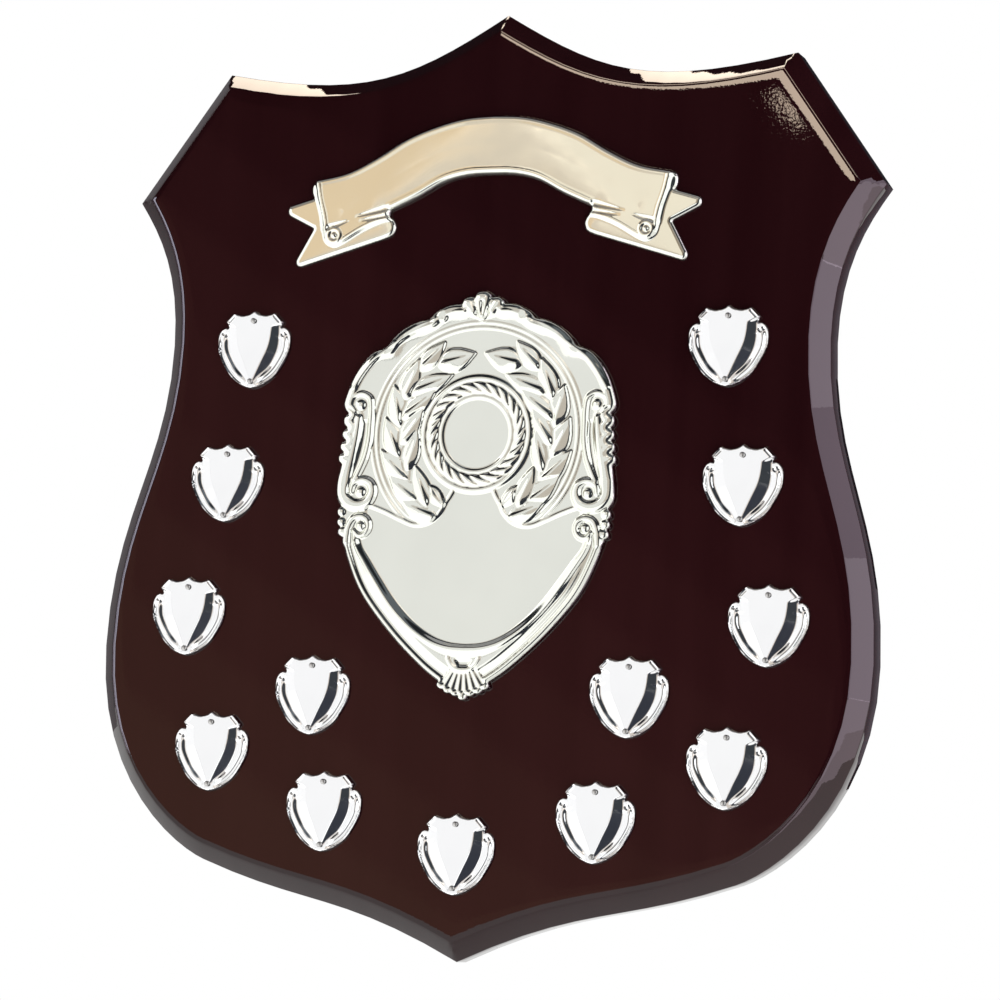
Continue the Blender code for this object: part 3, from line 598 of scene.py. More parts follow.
def scroll_height(x, z, depth):
    """The front band stands above the tails, and the whole scroll rounds down to its edge."""
    x = np.abs(x)
    fold = smooth_path([(61.3, 86), (60.7, 82), (59.6, 77), (58.1, 72), (57.2, 67.5)])
    under = smooth_path([(57.2, 67.5), (56.4, 64), (54, 62.4), (51.2, 63.2), (44, 67.3), (38, 69.8),
                         (34, 70.6)])
    band = chain([(-9, 112), (61.3, 112)], fold, under, [(34, 74), (-9, 74)])
    front = signed_distance(x, z, band)
    height = SCROLL_TAIL + (SCROLL_BAND - SCROLL_TAIL) * ramp(front, -0.8, 0.6)
    height = height + 0.35 * dome(depth - 8, 8)
    height = height + 0.2 * bell(depth - SCROLL_ROUNDING, 1.2) * (front > -0.5)
    add_bead(height, x, z, fold, 1.5, 0.3)
    add_bead(height, x, z, under, 1.0, 0.3)
    add_bead(height, x, z, [(46.0, 71.4), (35.6, 73.9)], (0.3, 1.3), -0.6)
    add_bead(height, x, z, [(44.5, 70.0), (35.6, 71.3)], (0.3, 1.0), -0.5)
    add_bead(height, x, z, [(48.8, 70.1), (55.6, 67.9)], (0.3, 1.2), -0.6)
    curl = np.hypot(x - CURL[0], z - CURL[1])
    height = np.where(curl < 3.0, 1.9 + 0.7 * bell(curl - 2.1, 1.1), height)
    add_ball(height, x, z, CURL, 1.1, 1.6)
    rounded = dome(SCROLL_ROUNDING - np.clip(depth, 0, SCROLL_ROUNDING), SCROLL_ROUNDING)
    return SCROLL_EDGE + (height - SCROLL_EDGE) * rounded


# Centre shield


def bead_row(cusps, bulge):
    """An outline's run of round lobes between the cusps that part them."""
    return chain(*[arc(a, b, bulge) for a, b in zip(cusps, cusps[1:])], [cusps[-1]])[:-1]


def shell_places(radius, angles):
    """Places on a fan round the shell's hub, with angles measured from straight down."""
    return [(SHELL_HUB[0] + radius * math.sin(a), SHELL_HUB[1] - radius * math.cos(a)) for a in angles]


def centre_outline():
    """Right half: finial, three scalloped arcs, beads, strap, beads, the long lower side and the shell."""
    cusp_angles = [SHELL_STEP * (3.5 - k) for k in range(4)]
    half = chain(
        arc((0, 46.1), (2.9, 44.2), 0.8),
        arc((2.9, 44.2), (7.4, 42.1), 1.2),
        arc((7.4, 42.1), (18.2, 37.5), 1.5),
        arc((18.2, 37.5), (32.5, 28.6), 1.9),
        smooth_path([(32.5, 28.6), (38.2, 25.9), (43.3, 19.2), (46.4, 11), (46.2, 8.3), (44.9, 6.7)], 4),
        bead_row([(44.9, 6.7), (45.0, 2.0), (45.3, -2.1), (45.8, -6.0), (46.3, -9.8)], 1.4),
        smooth_path([(46.3, -9.8), (47.0, -14), (47.4, -18), (47.2, -20.8), (45.5, -23.6)], 4),
        bead_row([(45.5, -23.6), (45.4, -27.0), (45.2, -30.2), (44.8, -33.3)], 1.3),
        smooth_path([(44.8, -33.3), (42.5, -40), (38.8, -48.2), (34, -55.3), (25, -65.3), (15, -74.3),
                     (8.5, -78.9)], 5),
        bead_row([*shell_places(13.2, cusp_angles), *shell_places(14.7, [0])], 0.7))
    return mirrored(half)


# The engraving plate's lower edge, the line outside the moulding next to it, and the wreath's foot
PLATE_EDGE = ((37.6, -35.0), (34, -40.1), (30, -45.7), (25, -52.3), (20, -57.7), (15, -61.9),
              (10, -64.9), (5, -66.5), (0, -67.0))
CREST_LINE = ((39.9, -36.2), (36.5, -42.1), (32.3, -48.2), (27, -55.4), (21, -61.5), (15, -66.2),
              (10, -69.2), (5, -71.0), (0, -71.4))
FOOT_EDGE = ((36.2, -22.9), (30, -25.1), (25, -27.3), (20.5, -29.0), (17, -29.1), (13.5, -27.8),
             (10.8, -25.2), (9.4, -22.4), (8.0, -20.2), (7.0, -18.3))

# Laurel leaves of the right branch, from its tip to its foot: base, tip and half width
INNER_LEAVES = (
    ((14.6, 22.0), (1.4, 26.2), 3.9), ((23.4, 12.8), (8.8, 19.4), 3.3),
    ((26.4, 4.4), (14.3, 14.6), 3.2), ((26.2, -4.0), (18.4, 8.6), 3.0),
    ((23.4, -12.6), (20.0, 2.0), 2.8), ((15.2, -24.0), (20.4, -10.0), 2.9))
OUTER_LEAVES = (
    ((20.8, 20.2), (12.2, 30.0), 3.1), ((26.0, 10.4), (21.0, 24.6), 3.3),
    ((26.2, 1.8), (29.2, 16.2), 3.4), ((25.8, -8.4), (31.6, 5.6), 3.5),
    ((21.6, -16.8), (32.7, -5.0), 3.6), ((17.6, -23.0), (29.4, -13.4), 3.7),
    ((11.6, -27.4), (24.6, -21.6), 3.5), ((16.6, -16.6), (9.0, -23.8), 2.4))
BRANCH = ((12, 24.0), (21, 18), (25.3, 9), (26.4, -1), (24.8, -11), (19.5, -19), (14, -25))

# The big and the small volute beside the plate's upper corners
VOLUTE_EYE = (38.9, -18.9)
SMALL_VOLUTE_EYE = (38.3, -29.8)


def lower_mouldings(x, z, depth):
    """The mouldings round the engraving plate: slope, roll, groove, two steps and edge bead."""
    plate_side = smooth_path([(37.9, -29), *PLATE_EDGE], 5)
    crest_side = smooth_path([(41.5, -29), *CREST_LINE], 5)
    plate = chain([(-9, 0), (36.5, 0), (36.5, -24)], plate_side, [(-9, -67)])
    crest = chain([(-9, 0), (41.5, 0), (41.5, -24)], crest_side, [(-9, -71.4)])
    outside_plate = -signed_distance(x, z, plate)
    inside_crest = signed_distance(x, z, crest)
    across = outside_plate / np.maximum(outside_plate + inside_crest, 0.01)
    slope_share = 0.3 + 0.65 * ramp(x, 0, 25)
    roll = CENTRE_FIELD + (CENTRE_CREST - CENTRE_FIELD) * ramp(across / slope_share, 0, 1)
    roll = roll - 0.5 * ramp(across, slope_share, 1.1)
    steps = 1.3 + 0.6 * ramp(depth, 2.5, 4.4) + 0.7 * ramp(depth, 4.6, 5.5)
    outer = np.maximum(steps, 2.5 * bell(depth - 1.25, 1.6))
    height = np.where(outside_plate < 0, CENTRE_FIELD, np.where(inside_crest > 0, roll, outer))
    height = height - 0.35 * bell(inside_crest, 0.45) * (outside_plate > 0)
    corner = ramp(x, 36, 37.5) * ramp(z, -35, -30)
    return height + (1.4 - height) * corner


def frame_height(x, z, depth):
    """The frame between the edge and the round field: a rounded edge, a thin line and a dished cove."""
    ring = np.hypot(x, z) - BORDER_RADIUS
    across = np.clip(ring / np.maximum(ring + depth - 2.8, 0.01), 0, 1)
    cove = CENTRE_FIELD + 1.3 * across ** 1.6
    edge = CENTRE_FIELD + 1.9 * dome(2.6 - np.minimum(depth, 2.6), 2.6)
    upper = np.where(depth < 2.6, edge, np.maximum(cove, edge - 0.8 * ramp(depth, 2.6, 3.3)))
    upper = np.where(depth > 3.3, cove, upper)
    corner = ramp(x, 41, 43) * ramp(-z, 15, 21)
    upper = upper + (1.4 - upper) * corner
    under_foot = chain([(48, -23.4)], FOOT_EDGE, [(-9, -18.3), (-9, -90), (48, -90)])
    return np.where(inside(x, z, under_foot), lower_mouldings(x, z, depth), upper)


def add_wreath(height, x, z):
    """The right branch: a mound along its stem, and the leaves over it."""
    add_bead(height, x, z, smooth_path(BRANCH), (5.0, 7.0), 0.8)
    for base, tip, half_width in OUTER_LEAVES + INNER_LEAVES:
        add_leaf(height, x, z, base, tip, half_width, 1.5)


def add_rings(height, x, z):
    """The disc's rim, the rope, its collar and the round border of the wreath."""
    radius = np.hypot(x, z)
    angle = np.arctan2(z, x)
    middle = (ROPE_INNER + ROPE_OUTER) / 2
    half = (ROPE_OUTER - ROPE_INNER) / 2
    collar = radius < COLLAR_RADIUS
    height[collar] = 1.1 + 0.8 * bell(radius - 18.0, 1.3)[collar]
    rim = radius < ROPE_INNER
    height[rim] = CENTRE_FIELD + 0.65 * bell(radius - DISC_RADIUS - 1, 1.1)[rim]
    twist = np.abs(np.sin(ROPE_STRANDS * angle / 2 - 1.1 * (radius - middle))) ** 0.5
    rope = np.abs(radius - middle) < half
    height[rope] = (1.1 + (0.3 + 1.2 * twist) * dome(radius - middle, half))[rope]
    border = bell(radius - BORDER_RADIUS - 0.85, 0.8) + bell(radius - BORDER_RADIUS + 0.85, 0.8)
    height += 0.45 * border * ramp(z, -29, -25)


def add_finial(height, x, z):
    """The three-lobed finial, the lines inside the two upper scallops and the curl between them."""
    add_strap(height, x, z, [(3.2, 39.8), (5.0, 42.1)], (1.4, 2.2), 1.5, 1.7)
    add_strap(height, x, z, [(0, 38.6), (0, 43.3)], (1.4, 3.0), 1.9, 1.8)
    add_bead(height, x, z, [(0, 42.4), (0, 38.6)], (0.9, 0.5), -1.3)
    first = [(0, 36.8), (4.5, 39.0), (8.5, 39.4), (12.0, 38.4)]
    second = [(14, 36.8), (20, 34.3), (28, 30.2), (35, 25.6), (39.5, 20.5), (43.6, 14.8)]
    add_bead(height, x, z, smooth_path(first), 0.8, 0.5)
    add_bead(height, x, z, smooth_path(second), 0.8, 0.5)
    add_bead(height, x, z, smooth_path([(16, 37.2), (22, 34.9), (29, 30.6)]), (0.8, 0.4), 0.5)
    add_strap(height, x, z, spiral((13.4, 38.1), 0.3, 1.7, 60, 1.1), (0.6, 0.8), 2.0, 0.9)


def add_sides(height, x, z):
    """The upper curl, the straps round the drop-shaped hollow, the two volutes and the beads."""
    inner_strap = smooth_path([(44.1, 8.6), (43.4, 11.7), (40.4, 13.2), (37.5, 11.8), (36.7, 8.5),
                               (36.7, 3), (36.9, -2), (37.8, -7), (39.3, -11), (41.2, -15)])
    outer_strap = smooth_path([(40.9, 5.6), (41.6, 0), (42.8, -6), (44.0, -11), (44.8, -15)])
    big_turn = smooth_path([(44.8, -15), (44.8, -19.4), (42.8, -22.2), (39.4, -23.1), (36.2, -21.8),
                            (34.8, -18.8), (35.7, -16), (38.6, -14.9), (41.3, -16.2), (42.0, -18.8)])
    small_turn = smooth_path([(42.9, -35), (42.4, -30.5), (40.8, -27.5), (38.2, -26.7), (36.1, -27.8),
                              (35.4, -30), (36.4, -32.2), (38.6, -32.9), (40.4, -31.4)])
    side_beads = ((45.0, 4.3), (45.2, 0.0), (45.8, -4.0), (46.0, -7.9), (45.3, -25.3), (45.1, -28.6),
                  (44.5, -31.7))
    hollow = smooth_path([(38.7, 3.4), (38.8, 0), (39.5, -5), (40.7, -10), (42.0, -14)])
    add_bead(height, x, z, hollow, (1.4, 0.8), -0.8)
    add_strap(height, x, z, inner_strap, (0.8, 1.0), 1.7, 1.1)
    add_strap(height, x, z, outer_strap, (1.1, 2.4), 1.5, 1.5)
    add_strap(height, x, z, big_turn, (2.4, 0.8), 1.6, 1.4)
    add_ball(height, x, z, VOLUTE_EYE, 1.8, 1.0)
    add_strap(height, x, z, small_turn, (1.3, 0.7), 1.6, 1.2)
    add_ball(height, x, z, SMALL_VOLUTE_EYE, 1.5, 1.2)
    add_ball(height, x, z, (40.6, 9.4), 2.0, 0.8)
    add_bead(height, x, z, [(40.4, 5.8), (44.4, 8.4)], 0.5, -0.6)
    for centre in side_beads:
        add_ball(height, x, z, centre, 1.75, 0.8)


def add_shell(height, x, z):
    """The fluted shell at the foot, its hub and the small hollow above it."""
    half_fan = SHELL_STEP * 3.4
    fan = chain([(-9, -75)], shell_places(5.5, [0, half_fan]), shell_places(SHELL_REACH, [half_fan, 0]),
                [(-9, -82)])
    height[:] = np.where(inside(x, z, fan), 2.3, height)
    for k in range(SHELL_RIBS // 2 + 1):
        reach = SHELL_REACH if k else SHELL_REACH + 1
        start, flute_end, end = (shell_places(r, [k * SHELL_STEP])[0] for r in (5.6, 11.4, reach))
        add_ball(height, x, z, end, 1.45, 1.2)
        add_bead(height, x, z, [start, flute_end], (0.6, 1.05), -0.85)
    hub = smooth_path([(0, -75.3), (2.4, -74.9), (4.2, -73.4), (5.3, -71.5)])
    add_strap(height, x, z, hub, 0.8, 2.1, 0.9)
    hollow = [(0, -71.8), (3.2, -71.8), (1.6, -74.2), (-1.6, -74.2), (-3.2, -71.8)]
    height -= 1.1 * ramp(signed_distance(x, z, np.array(hollow)), -0.1, 0.6)


def centre_height(x, z, depth):
    """The whole relief of the centre shield. All but the rope's twist is the same on both sides."""
    right = np.abs(x)
    height = frame_height(right, z, depth)
    foot = chain([(-9, 40), (40, 40), (40, -23)], FOOT_EDGE, [(-9, -18.3)])
    field = (np.hypot(x, z) < BORDER_RADIUS) & inside(right, z, foot)
    height[field] = CENTRE_FIELD
    wreath = height.copy()
    add_wreath(wreath, right, z)
    height[field] = wreath[field]
    add_bead(height, right, z, smooth_path(FOOT_EDGE), 0.8, 0.6)
    add_rings(height, x, z)
    add_finial(height, right, z)
    add_sides(height, right, z)
    add_shell(height, right, z)
    sheet = CENTRE_SHEET + RELIEF_SHARE * (height - CENTRE_FIELD)
    return np.minimum(sheet, CENTRE_EDGE + 1.9 * dome(1.1 - np.minimum(depth, 1.1), 1.1))


# Side shields


def side_outline():
    """Right half: peak, hollow arc, cut corner, notch, round ear and the curved side to the foot."""
    half = chain(
        smooth_path([(0, 12.9), (1.6, 11.8), (4.2, 11.3), (6.2, 11.7), (7.3, 12.1)], 4),
        [(7.3, 12.1), (10.2, 9.1), (9.3, 7.6)],
        smooth_path([(9.6, 6.9), (10.9, 7.1), (12.3, 5.8), (12.9, 3.5), (12.5, -0.8), (10.2, -5.4),
                     (7.8, -8.6), (4.9, -11.0), (2.1, -12.4), (0, -12.9)], 4))
    return mirrored(half)


def side_height(x, z, depth):
    """A flat field that runs out to the top edge. Its sides slope evenly down to a strap and a rim."""
    x = np.abs(x)
    field = chain([(-20, 16), (6.3, 16)],
                  smooth_path([(6.3, 7.4), (5.9, 3.4), (5.0, 0), (2.9, -4.6), (0.1, -11.0)], 5),
                  [(-20, -11.0)])
    sloped = chain([(-20, 16), (8.9, 16)],
                   smooth_path([(8.9, 7.4), (8.9, 2.6), (8.0, -1.4), (5.3, -6.4), (0.2, -11.2)], 5),
                   [(-20, -11.2)])
    outside_field = np.maximum(-signed_distance(x, z, field), 0)
    outside_slope = np.maximum(-signed_distance(x, z, sloped), 0)
    top = z > 7.3 + 0.4 * (x - 6.3)
    height = SIDE_FIELD - np.where(top, 0, SIDE_STEEP * (outside_field - outside_slope))
    below_ears = ramp(-z, -5.5, -2) * ramp(x, 1.5, 5)
    height = height + 0.6 * bell(depth - 2.0, 1.4) * below_ears
    height = height - 0.5 * bell(depth - 0.85, 0.55) * below_ears
    add_bead(height, x, z, [(11.1, 5.6), (11.4, 5.3)], 0.5, -0.4)
    add_bead(height, x, z, [(9.9, 5.1), (10.2, 4.7)], 0.5, -0.4)
    add_bead(height, x, z, [(7.2, 11.0), (9.1, 9.1)], 0.5, -0.35)
    return np.minimum(height, SIDE_EDGE + 1.6 * dome(0.7 - np.clip(depth, 0, 0.7), 0.7))


# Materials


def new_material(name):
    """A new material, with its nodes, its links and its shader."""
    material = bpy.data.materials.new(name)
    material.use_nodes = True
    nodes = material.node_tree.nodes
    return material, nodes, material.node_tree.links, nodes["Principled BSDF"]


def noise_at(nodes, links, scale, detail, stretch=(1, 1, 1)):
    """A noise over the object's own place, with a scale in cells for each metre."""
    place = nodes.new("ShaderNodeTexCoord")
    mapping = nodes.new("ShaderNodeMapping")
    mapping.inputs["Scale"].default_value = stretch
    noise = nodes.new("ShaderNodeTexNoise")
    noise.inputs["Scale"].default_value = scale
    noise.inputs["Detail"].default_value = detail
    links.new(place.outputs["Object"], mapping.inputs["Vector"])
    links.new(mapping.outputs["Vector"], noise.inputs["Vector"])
    return noise


def spread(nodes, links, noise, values, target):
    """Lead a noise into a socket as a value between the two given."""
    scaled = nodes.new("ShaderNodeMapRange")
    scaled.inputs["From Min"].default_value = NOISE_LOW
    scaled.inputs["From Max"].default_value = NOISE_HIGH
    scaled.inputs["To Min"].default_value, scaled.inputs["To Max"].default_value = values
    links.new(noise.outputs["Fac"], scaled.inputs["Value"])
    links.new(scaled.outputs["Result"], target)


def two_tone(nodes, links, noise, stops, target):
    """Lead a noise into a socket as a colour between two stops, each a position and a colour."""
    colours = nodes.new("ShaderNodeValToRGB")
    for element, (position, colour) in zip(colours.color_ramp.elements, stops):
        element.position = position
        element.color = (*colour, 1)
    links.new(noise.outputs["Fac"], colours.inputs["Fac"])
    links.new(colours.outputs["Color"], target)


def bumped(nodes, links, noise, height, target):
    """Lead a noise into a normal socket as bumps of a height in metres."""
    bump = nodes.new("ShaderNodeBump")
    bump.inputs["Distance"].default_value = height
    bump.inputs["Strength"].default_value = 1.0
    links.new(noise.outputs["Fac"], bump.inputs["Height"])
    links.new(bump.outputs["Normal"], target)


def lacquered_wood():
    """Dark mahogany with an upright grain, under a glossy coat with a fine orange peel."""
    material, nodes, links, shader = new_material("lacquered wood")
    grain = noise_at(nodes, links, scale=90, detail=6, stretch=(1, 1, 0.08))
    two_tone(nodes, links, grain, WOOD_STOPS, shader.inputs["Base Color"])
    spread(nodes, links, grain, WOOD_ROUGHNESS, shader.inputs["Roughness"])
    shader.inputs["Specular IOR Level"].default_value = 0.0
    shader.inputs["Coat Weight"].default_value = 1.0
    shader.inputs["Coat Roughness"].default_value = COAT_ROUGHNESS
    peel = noise_at(nodes, links, scale=1000, detail=2)
    bumped(nodes, links, peel, PEEL_HEIGHT, shader.inputs["Coat Normal"])
    return material


def plated(name, colour, wave):
    """Bright plated sheet: a mirror with slight waves and patches of softer polish."""
    material, nodes, links, shader = new_material(name)
    shader.inputs["Metallic"].default_value = 1.0
    tint = noise_at(nodes, links, scale=45, detail=2)
    stops = ((NOISE_LOW, colour), (NOISE_HIGH, [c * TARNISH for c in colour]))
    two_tone(nodes, links, tint, stops, shader.inputs["Base Color"])
    polish = noise_at(nodes, links, scale=160, detail=3)
    spread(nodes, links, polish, POLISH_ROUGHNESS, shader.inputs["Roughness"])
    ripple = noise_at(nodes, links, scale=120, detail=1)
    bumped(nodes, links, ripple, wave, shader.inputs["Normal"])
    return material


def plain(name, colour, scale, roughness, metallic=0.0):
    """One even colour, with a roughness that changes a little from place to place."""
    material, nodes, links, shader = new_material(name)
    shader.inputs["Metallic"].default_value = metallic
    shader.inputs["Base Color"].default_value = (*colour, 1)
    noise = noise_at(nodes, links, scale, detail=2)
    spread(nodes, links, noise, roughness, shader.inputs["Roughness"])
    return material


# Pieces


def piece(name, mesh, material, node, place=(0, 0, 0), sharp=50):
    """A shown piece that stands for a CAD node and rides on the plaque's one body."""
    if not mesh.materials:
        mesh.materials.append(material)
    mesh.shade_smooth()
    mesh.set_sharp_from_angle(angle=math.radians(sharp))
    shown = bpy.data.objects.new(name, mesh)
    shown.location = Vector(place) * MM
    bpy.context.scene.collection.objects.link(shown)
    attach(shown, "root")
    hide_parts(node)
    return shown


def pin_head_mesh():
    """The round head of a pin, turned from a short domed profile."""
    profile = [(PIN_RADIUS, 0.0), (PIN_RADIUS, PIN_HEIGHT * PIN_FOOT)]
    for k in range(1, PIN_RISE):
        turn = math.pi / 2 * k / PIN_RISE
        share = PIN_FOOT + (1 - PIN_FOOT) * math.sin(turn)
        profile.append((PIN_RADIUS * math.cos(turn), PIN_HEIGHT * share))
    points = []
    for radius, front in profile:
        for k in range(PIN_SIDES):
            turn = 2 * math.pi * k / PIN_SIDES
            points.append(Vector((radius * math.cos(turn), -front, radius * math.sin(turn))) * MM)
    faces = ring_faces(len(profile), PIN_SIDES)
    top = len(points)
    points.append(Vector((0, -PIN_HEIGHT, 0)) * MM)
    last = top - PIN_SIDES
    faces += [(last + k, last + (k + 1) % PIN_SIDES, top) for k in range(PIN_SIDES)]
    mesh = bpy.data.meshes.new("pin_head")
    mesh.from_pydata(points, [], faces)
    return mesh


def make_pieces():
    """Every shown piece: centre shield, scroll, side shields with their pins, and board."""
    silver = plated("silver plate", SILVER, SILVER_WAVE)
    nickel = plated("nickel plate", NICKEL, NICKEL_WAVE)
    wood = lacquered_wood()
    board = piece("board_finish", board_piece_mesh(), wood, "board", sharp=75)
    seat = (0, SEAT_Y, 0)
    relief = relief_mesh("centre_relief", centre_outline(), centre_height, CENTRE_STEP, CENTRE_EDGE)
    centre = piece("centre_relief", relief, silver, "centre_shield", seat)
    relief = relief_mesh("scroll_relief", scroll_outline(), scroll_height, SCROLL_STEP, SCROLL_EDGE)
    scroll = piece("scroll_relief", relief, silver, "scroll", seat)
    side = relief_mesh("side_relief", side_outline(), side_height, SIDE_STEP, SIDE_EDGE)
    pin = pin_head_mesh()
    steel = plain("pin steel", STEEL, scale=2500, roughness=(0.25, 0.4), metallic=1.0)
    small = []
    for number, (cx, cz) in enumerate(SIDE_CENTRES, start=1):
        label = f"{number:02d}"
        small.append(piece(f"side_relief_{label}", side, nickel, f"side_shield_{label}",
                           (cx, SEAT_Y, cz)))
        pin_y = SEAT_Y - SIDE_FIELD - SEAT_GAP
        for end, pin_z in (("top", PIN_TOP_Z), ("foot", PIN_FOOT_Z)):
            small.append(piece(f"pin_head_{label}_{end}", pin, steel, f"pin_{label}_{end}",
                               (cx, pin_y, cz + pin_z)))
    return [centre], [scroll], small, [board]


# Studio


def direction(azimuth, elevation):
    """A unit direction, with the azimuth from the front (-Y) towards +X, in degrees."""
    a, e = math.radians(azimuth), math.radians(elevation)
    return Vector((math.sin(a) * math.cos(e), -math.cos(a) * math.cos(e), math.sin(e)))


def receivers(name, objects):
    """A collection that names what a light falls on."""
    group = bpy.data.collections.new(name)
    for item in objects:
        group.objects.link(item)
    return group


def card(name, towards, spans, radiance, colour, group, roll=0):
    """A soft rectangular light that faces the plaque and falls on one group. Its angles are in degrees."""
    size = [2 * CARD_DISTANCE * math.tan(math.radians(span / 2)) for span in spans]
    place = STUDIO_MIDDLE + direction(*towards) * CARD_DISTANCE
    facing = (-direction(*towards)).to_track_quat("-Z", "Y").to_matrix().to_4x4()
    placing = Matrix.Translation(place) @ facing @ Matrix.Rotation(math.radians(roll), 4, "Z")
    lamp_panel(name, placing, size, radiance, colour, group)


def lamp_panel(name, placing, size, radiance, colour, group):
    """An area light of an even radiance that the camera doesn't see."""
    lamp = bpy.data.lights.new(name, "AREA")
    lamp.shape = "RECTANGLE"
    lamp.size, lamp.size_y = size
    lamp.color = colour
    lamp.energy = math.pi * radiance * size[0] * size[1]
    shown = bpy.data.objects.new(name, lamp)
    shown.matrix_world = placing
    shown.visible_camera = False
    shown.light_linking.receiver_collection = group
    bpy.context.scene.collection.objects.link(shown)


def floor_panel(name, glow, radiance, colour, group):
    """A light that lies just over the floor and shines up."""
    (gx, gy), size = glow
    placing = Matrix.Translation((gx, gy, FLOOR_Z + FLOOR_LIFT)) @ Matrix.Rotation(math.pi, 4, "X")
    lamp_panel(name, placing, size, radiance, colour, group)


def flat_sheet(name, corners, height, material):
    """A four-cornered sheet that lies level and isn't part of the plaque."""
    mesh = bpy.data.meshes.new(name)
    mesh.from_pydata([(cx, cy, height) for cx, cy in corners], [], [(0, 1, 2, 3)])
    mesh.materials.append(material)
    sheet = bpy.data.objects.new(name, mesh)
    bpy.context.scene.collection.objects.link(sheet)
    return sheet


def make_floor():
    """A wide pale floor, and on it a dark sheet that only the metal sees: painted dark reflection."""
    half = FLOOR_SIZE / 2
    corners = [(-half, -half), (half, -half), (half, half), (-half, half)]
    paint = plain("pale floor", PALE_PAINT, scale=6, roughness=(0.75, 0.9))
    floor = flat_sheet("floor", corners, FLOOR_Z, paint)
    # Painted dark reflection: a dark sheet that the camera never sees, that casts no shadow and that only
    # the metal's reflections meet
    dark = plain("painted dark reflection", DARK_REFLECTION_COLOUR, scale=300, roughness=(0.85, 0.95))
    dark_reflection_sheet = flat_sheet("dark_reflection_sheet", DARK_REFLECTION_CORNERS, FLOOR_Z + FLOOR_LIFT, dark)
    dark_reflection_sheet.visible_camera = False
    dark_reflection_sheet.visible_shadow = False
    dark_reflection_sheet.visible_diffuse = False
    return [floor, dark_reflection_sheet]


def light_plates(centre, scroll, small):
    """Soft lights for the plated pieces: in front for the flats, and all around for the slopes."""
    on_centre = receivers("lit centre shield", centre)
    on_small = receivers("lit side shields", small)
    for part_name, group, radiance in (("centre", on_centre, 0.95), ("small", on_small, 0.975)):
        card(f"front_{part_name}", (-21.5, 7), (25, 26), radiance, (1.0, 1.0, 1.0), group)
        card(f"front_right_{part_name}", (0, 2), (18, 56), 0.64, (1.0, 0.90, 0.81), group)
        card(f"front_above_{part_name}", (-28, 29), (50, 18), 0.66, (1.0, 0.94, 0.88), group)

    on_scroll = receivers("lit scroll", scroll)
    card("warm_front", (-29, 11), (11.6, 30), 0.925, (1.0, 0.78, 0.534), on_scroll)
    card("middle_front", (-21.8, 11), (2.8, 30), 0.84, (1.0, 0.865, 0.72), on_scroll)
    card("pale_front", (-14.2, 11), (12.4, 30), 1.07, (1.0, 0.905, 0.765), on_scroll)
    card("warm_right", (0, 8), (16, 50), 0.35, (1.0, 0.8, 0.6), on_scroll)
    card("warm_above", (-15, 45), (70, 34), 0.3, (1.0, 0.85, 0.72), on_scroll)

    on_silver = receivers("lit silver", centre + scroll)
    card("far_left_silver", (-78, -5), (88, 70), 1.35, (1.0, 0.995, 0.98), on_silver)
    card("far_left_small", (-78, -5), (88, 70), 1.02, (1.0, 1.0, 1.0), on_small)
    on_plates = receivers("lit plates", centre + scroll + small)
    card("far_right", (82.5, -4), (93, 80), 1.35, (0.98, 0.99, 1.0), on_plates)
    card("grey_above", (5, 42), (34, 18), 0.15, (0.8, 0.9, 1.0), on_plates)
    card("ceiling", (-5, 80), (110, 20), 0.35, (0.97, 0.95, 1.0), on_plates)
    card("slate", (22, 6), (28, 60), 0.03, (0.8, 0.9, 1.0), on_plates)
    floor_panel("floor_glow_left", LEFT_GLOW, 0.4, (0.97, 0.99, 1.0), on_plates)
    floor_panel("floor_glow_right", RIGHT_GLOW, 0.4, (0.97, 0.99, 1.0), on_plates)


def between(start, end, share):
    """The values that lie a share of the way from the first ones to the last."""
    return [a + (b - a) * share for a, b in zip(start, end)]


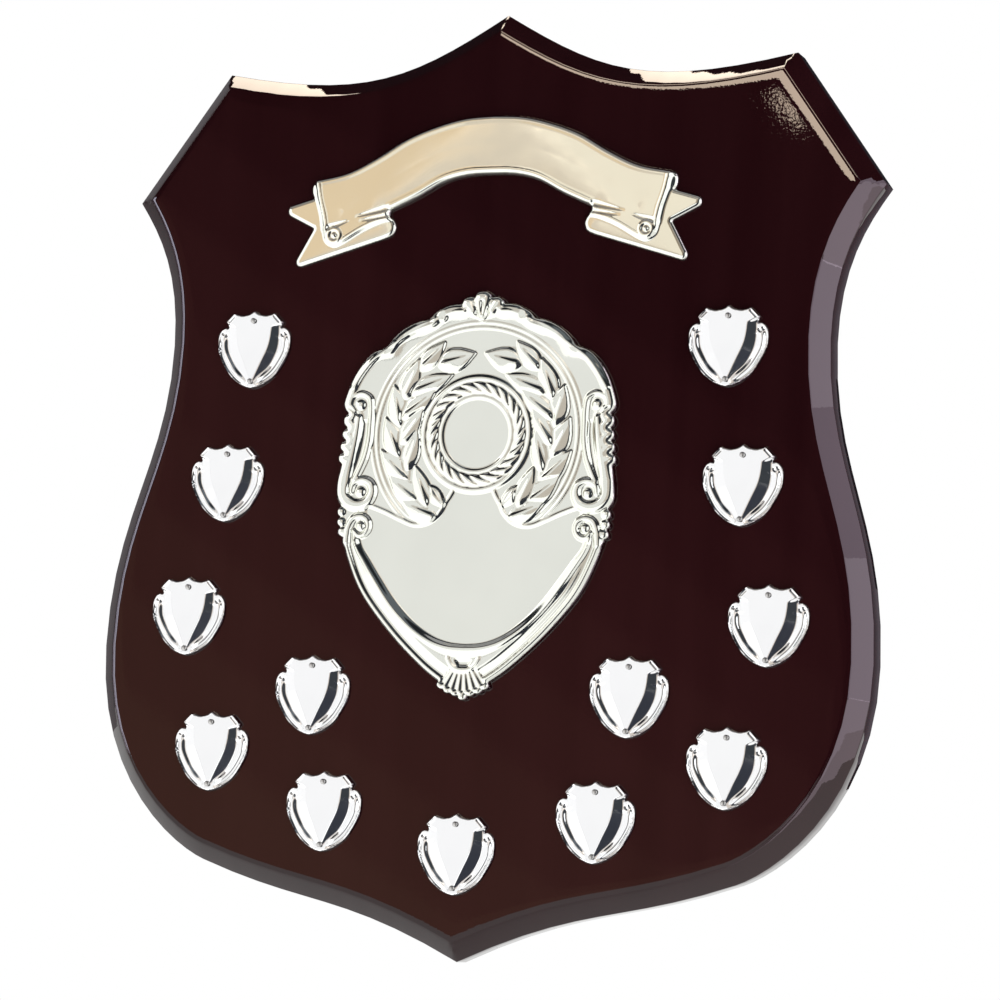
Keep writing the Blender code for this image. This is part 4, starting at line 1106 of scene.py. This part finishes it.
def light_board(board):
    """Lights for the lacquer: a window, a lamp over it, dim walls, and a warm room in even steps."""
    on_board = receivers("lit board", board)
    card("window", (-14.2, 22.0), (16, 10), 12, (1.0, 0.80, 0.62), on_board, roll=-35)
    card("window_corner", (-15.8, 15.1), (0.8, 0.3), 11, (1.0, 0.80, 0.62), on_board, roll=-45)
    card("overhead", (-128, 67), (20, 9.2), 10.8, (1.0, 0.84, 0.68), on_board)
    card("right_wall", (72, 6), (66, 90), 2.6, (1.0, 0.85, 1.03), on_board)
    card("right_behind", (157, 0), (44, 80), 0.14, (1.0, 0.86, 1.0), on_board)
    card("right_window", (75, 1.5), (24, 37), 1.2, (1.0, 0.92, 1.0), on_board)
    floor_panel("board_glow_far", BOARD_GLOW_FAR, 2.8, (1.0, 0.82, 1.0), on_board)
    floor_panel("board_glow_near", BOARD_GLOW_NEAR, 1.75, (1.0, 0.80, 0.95), on_board)
    card("left_wall", (-118, 12), (44, 46), 0.31, (1.0, 0.94, 0.97), on_board)
    card("left_glow", (-46, 3), (10, 30), 8, (0.85, 0.82, 1.0), on_board)
    card("left_high", (-58, 33), (12, 12), 6, (1.0, 0.93, 0.92), on_board)
    dim, bright = ROOM_RADIANCE
    for step in range(ROOM_STEPS):
        share = step / (ROOM_STEPS - 1)
        card(f"warm_room_{step}", between(*ROOM_TOWARDS, share), ROOM_SPANS, dim + (bright - dim) * share,
             between(*ROOM_COLOURS, share), on_board, roll=ROOM_LEAN)


def light_floor(ground):
    """An even soft sun that falls on the floor alone."""
    on_floor = receivers("lit floor", ground)
    sun = bpy.data.lights.new("floor_sun", "SUN")
    sun.energy = SUN_STRENGTH
    sun.angle = SUN_WIDTH
    shown = bpy.data.objects.new("floor_sun", sun)
    shown.light_linking.receiver_collection = on_floor
    bpy.context.scene.collection.objects.link(shown)


def make_world():
    """White behind the plaque, and a dim even room for everything else."""
    world = bpy.data.worlds.new("studio")
    world.use_nodes = True
    nodes = world.node_tree.nodes
    links = world.node_tree.links
    seen = nodes.new("ShaderNodeLightPath")
    room = nodes["Background"]
    room.inputs["Color"].default_value = (*DIM_WORLD, 1)
    white = nodes.new("ShaderNodeBackground")
    white.inputs["Color"].default_value = (1, 1, 1, 1)
    both = nodes.new("ShaderNodeMixShader")
    links.new(seen.outputs["Is Camera Ray"], both.inputs["Fac"])
    links.new(room.outputs["Background"], both.inputs[1])
    links.new(white.outputs["Background"], both.inputs[2])
    links.new(both.outputs["Shader"], nodes["World Output"].inputs["Surface"])
    bpy.context.scene.world = world


def make_camera():
    """The camera at the photograph's place and angle."""
    turn = (Matrix.Rotation(CAMERA_YAW, 3, "Z") @ Matrix.Rotation(CAMERA_PITCH, 3, "X")
            @ Matrix.Rotation(CAMERA_ROLL, 3, "Y") @ Matrix.Rotation(math.pi / 2, 3, "X"))
    lens = bpy.data.cameras.new("camera")
    lens.sensor_fit = "HORIZONTAL"
    lens.sensor_width = SENSOR
    lens.lens = CAMERA_LENS
    shown = bpy.data.objects.new("camera", lens)
    shown.matrix_world = Matrix.Translation(CAMERA_PLACE) @ turn.to_4x4()
    bpy.context.scene.collection.objects.link(shown)
    bpy.context.scene.camera = shown


bpy.context.scene.view_settings.view_transform = "Standard"
make_camera()
make_world()
centre_pieces, scroll_pieces, small_pieces, board_pieces = make_pieces()
light_plates(centre_pieces, scroll_pieces, small_pieces)
light_board(board_pieces)
light_floor(make_floor())
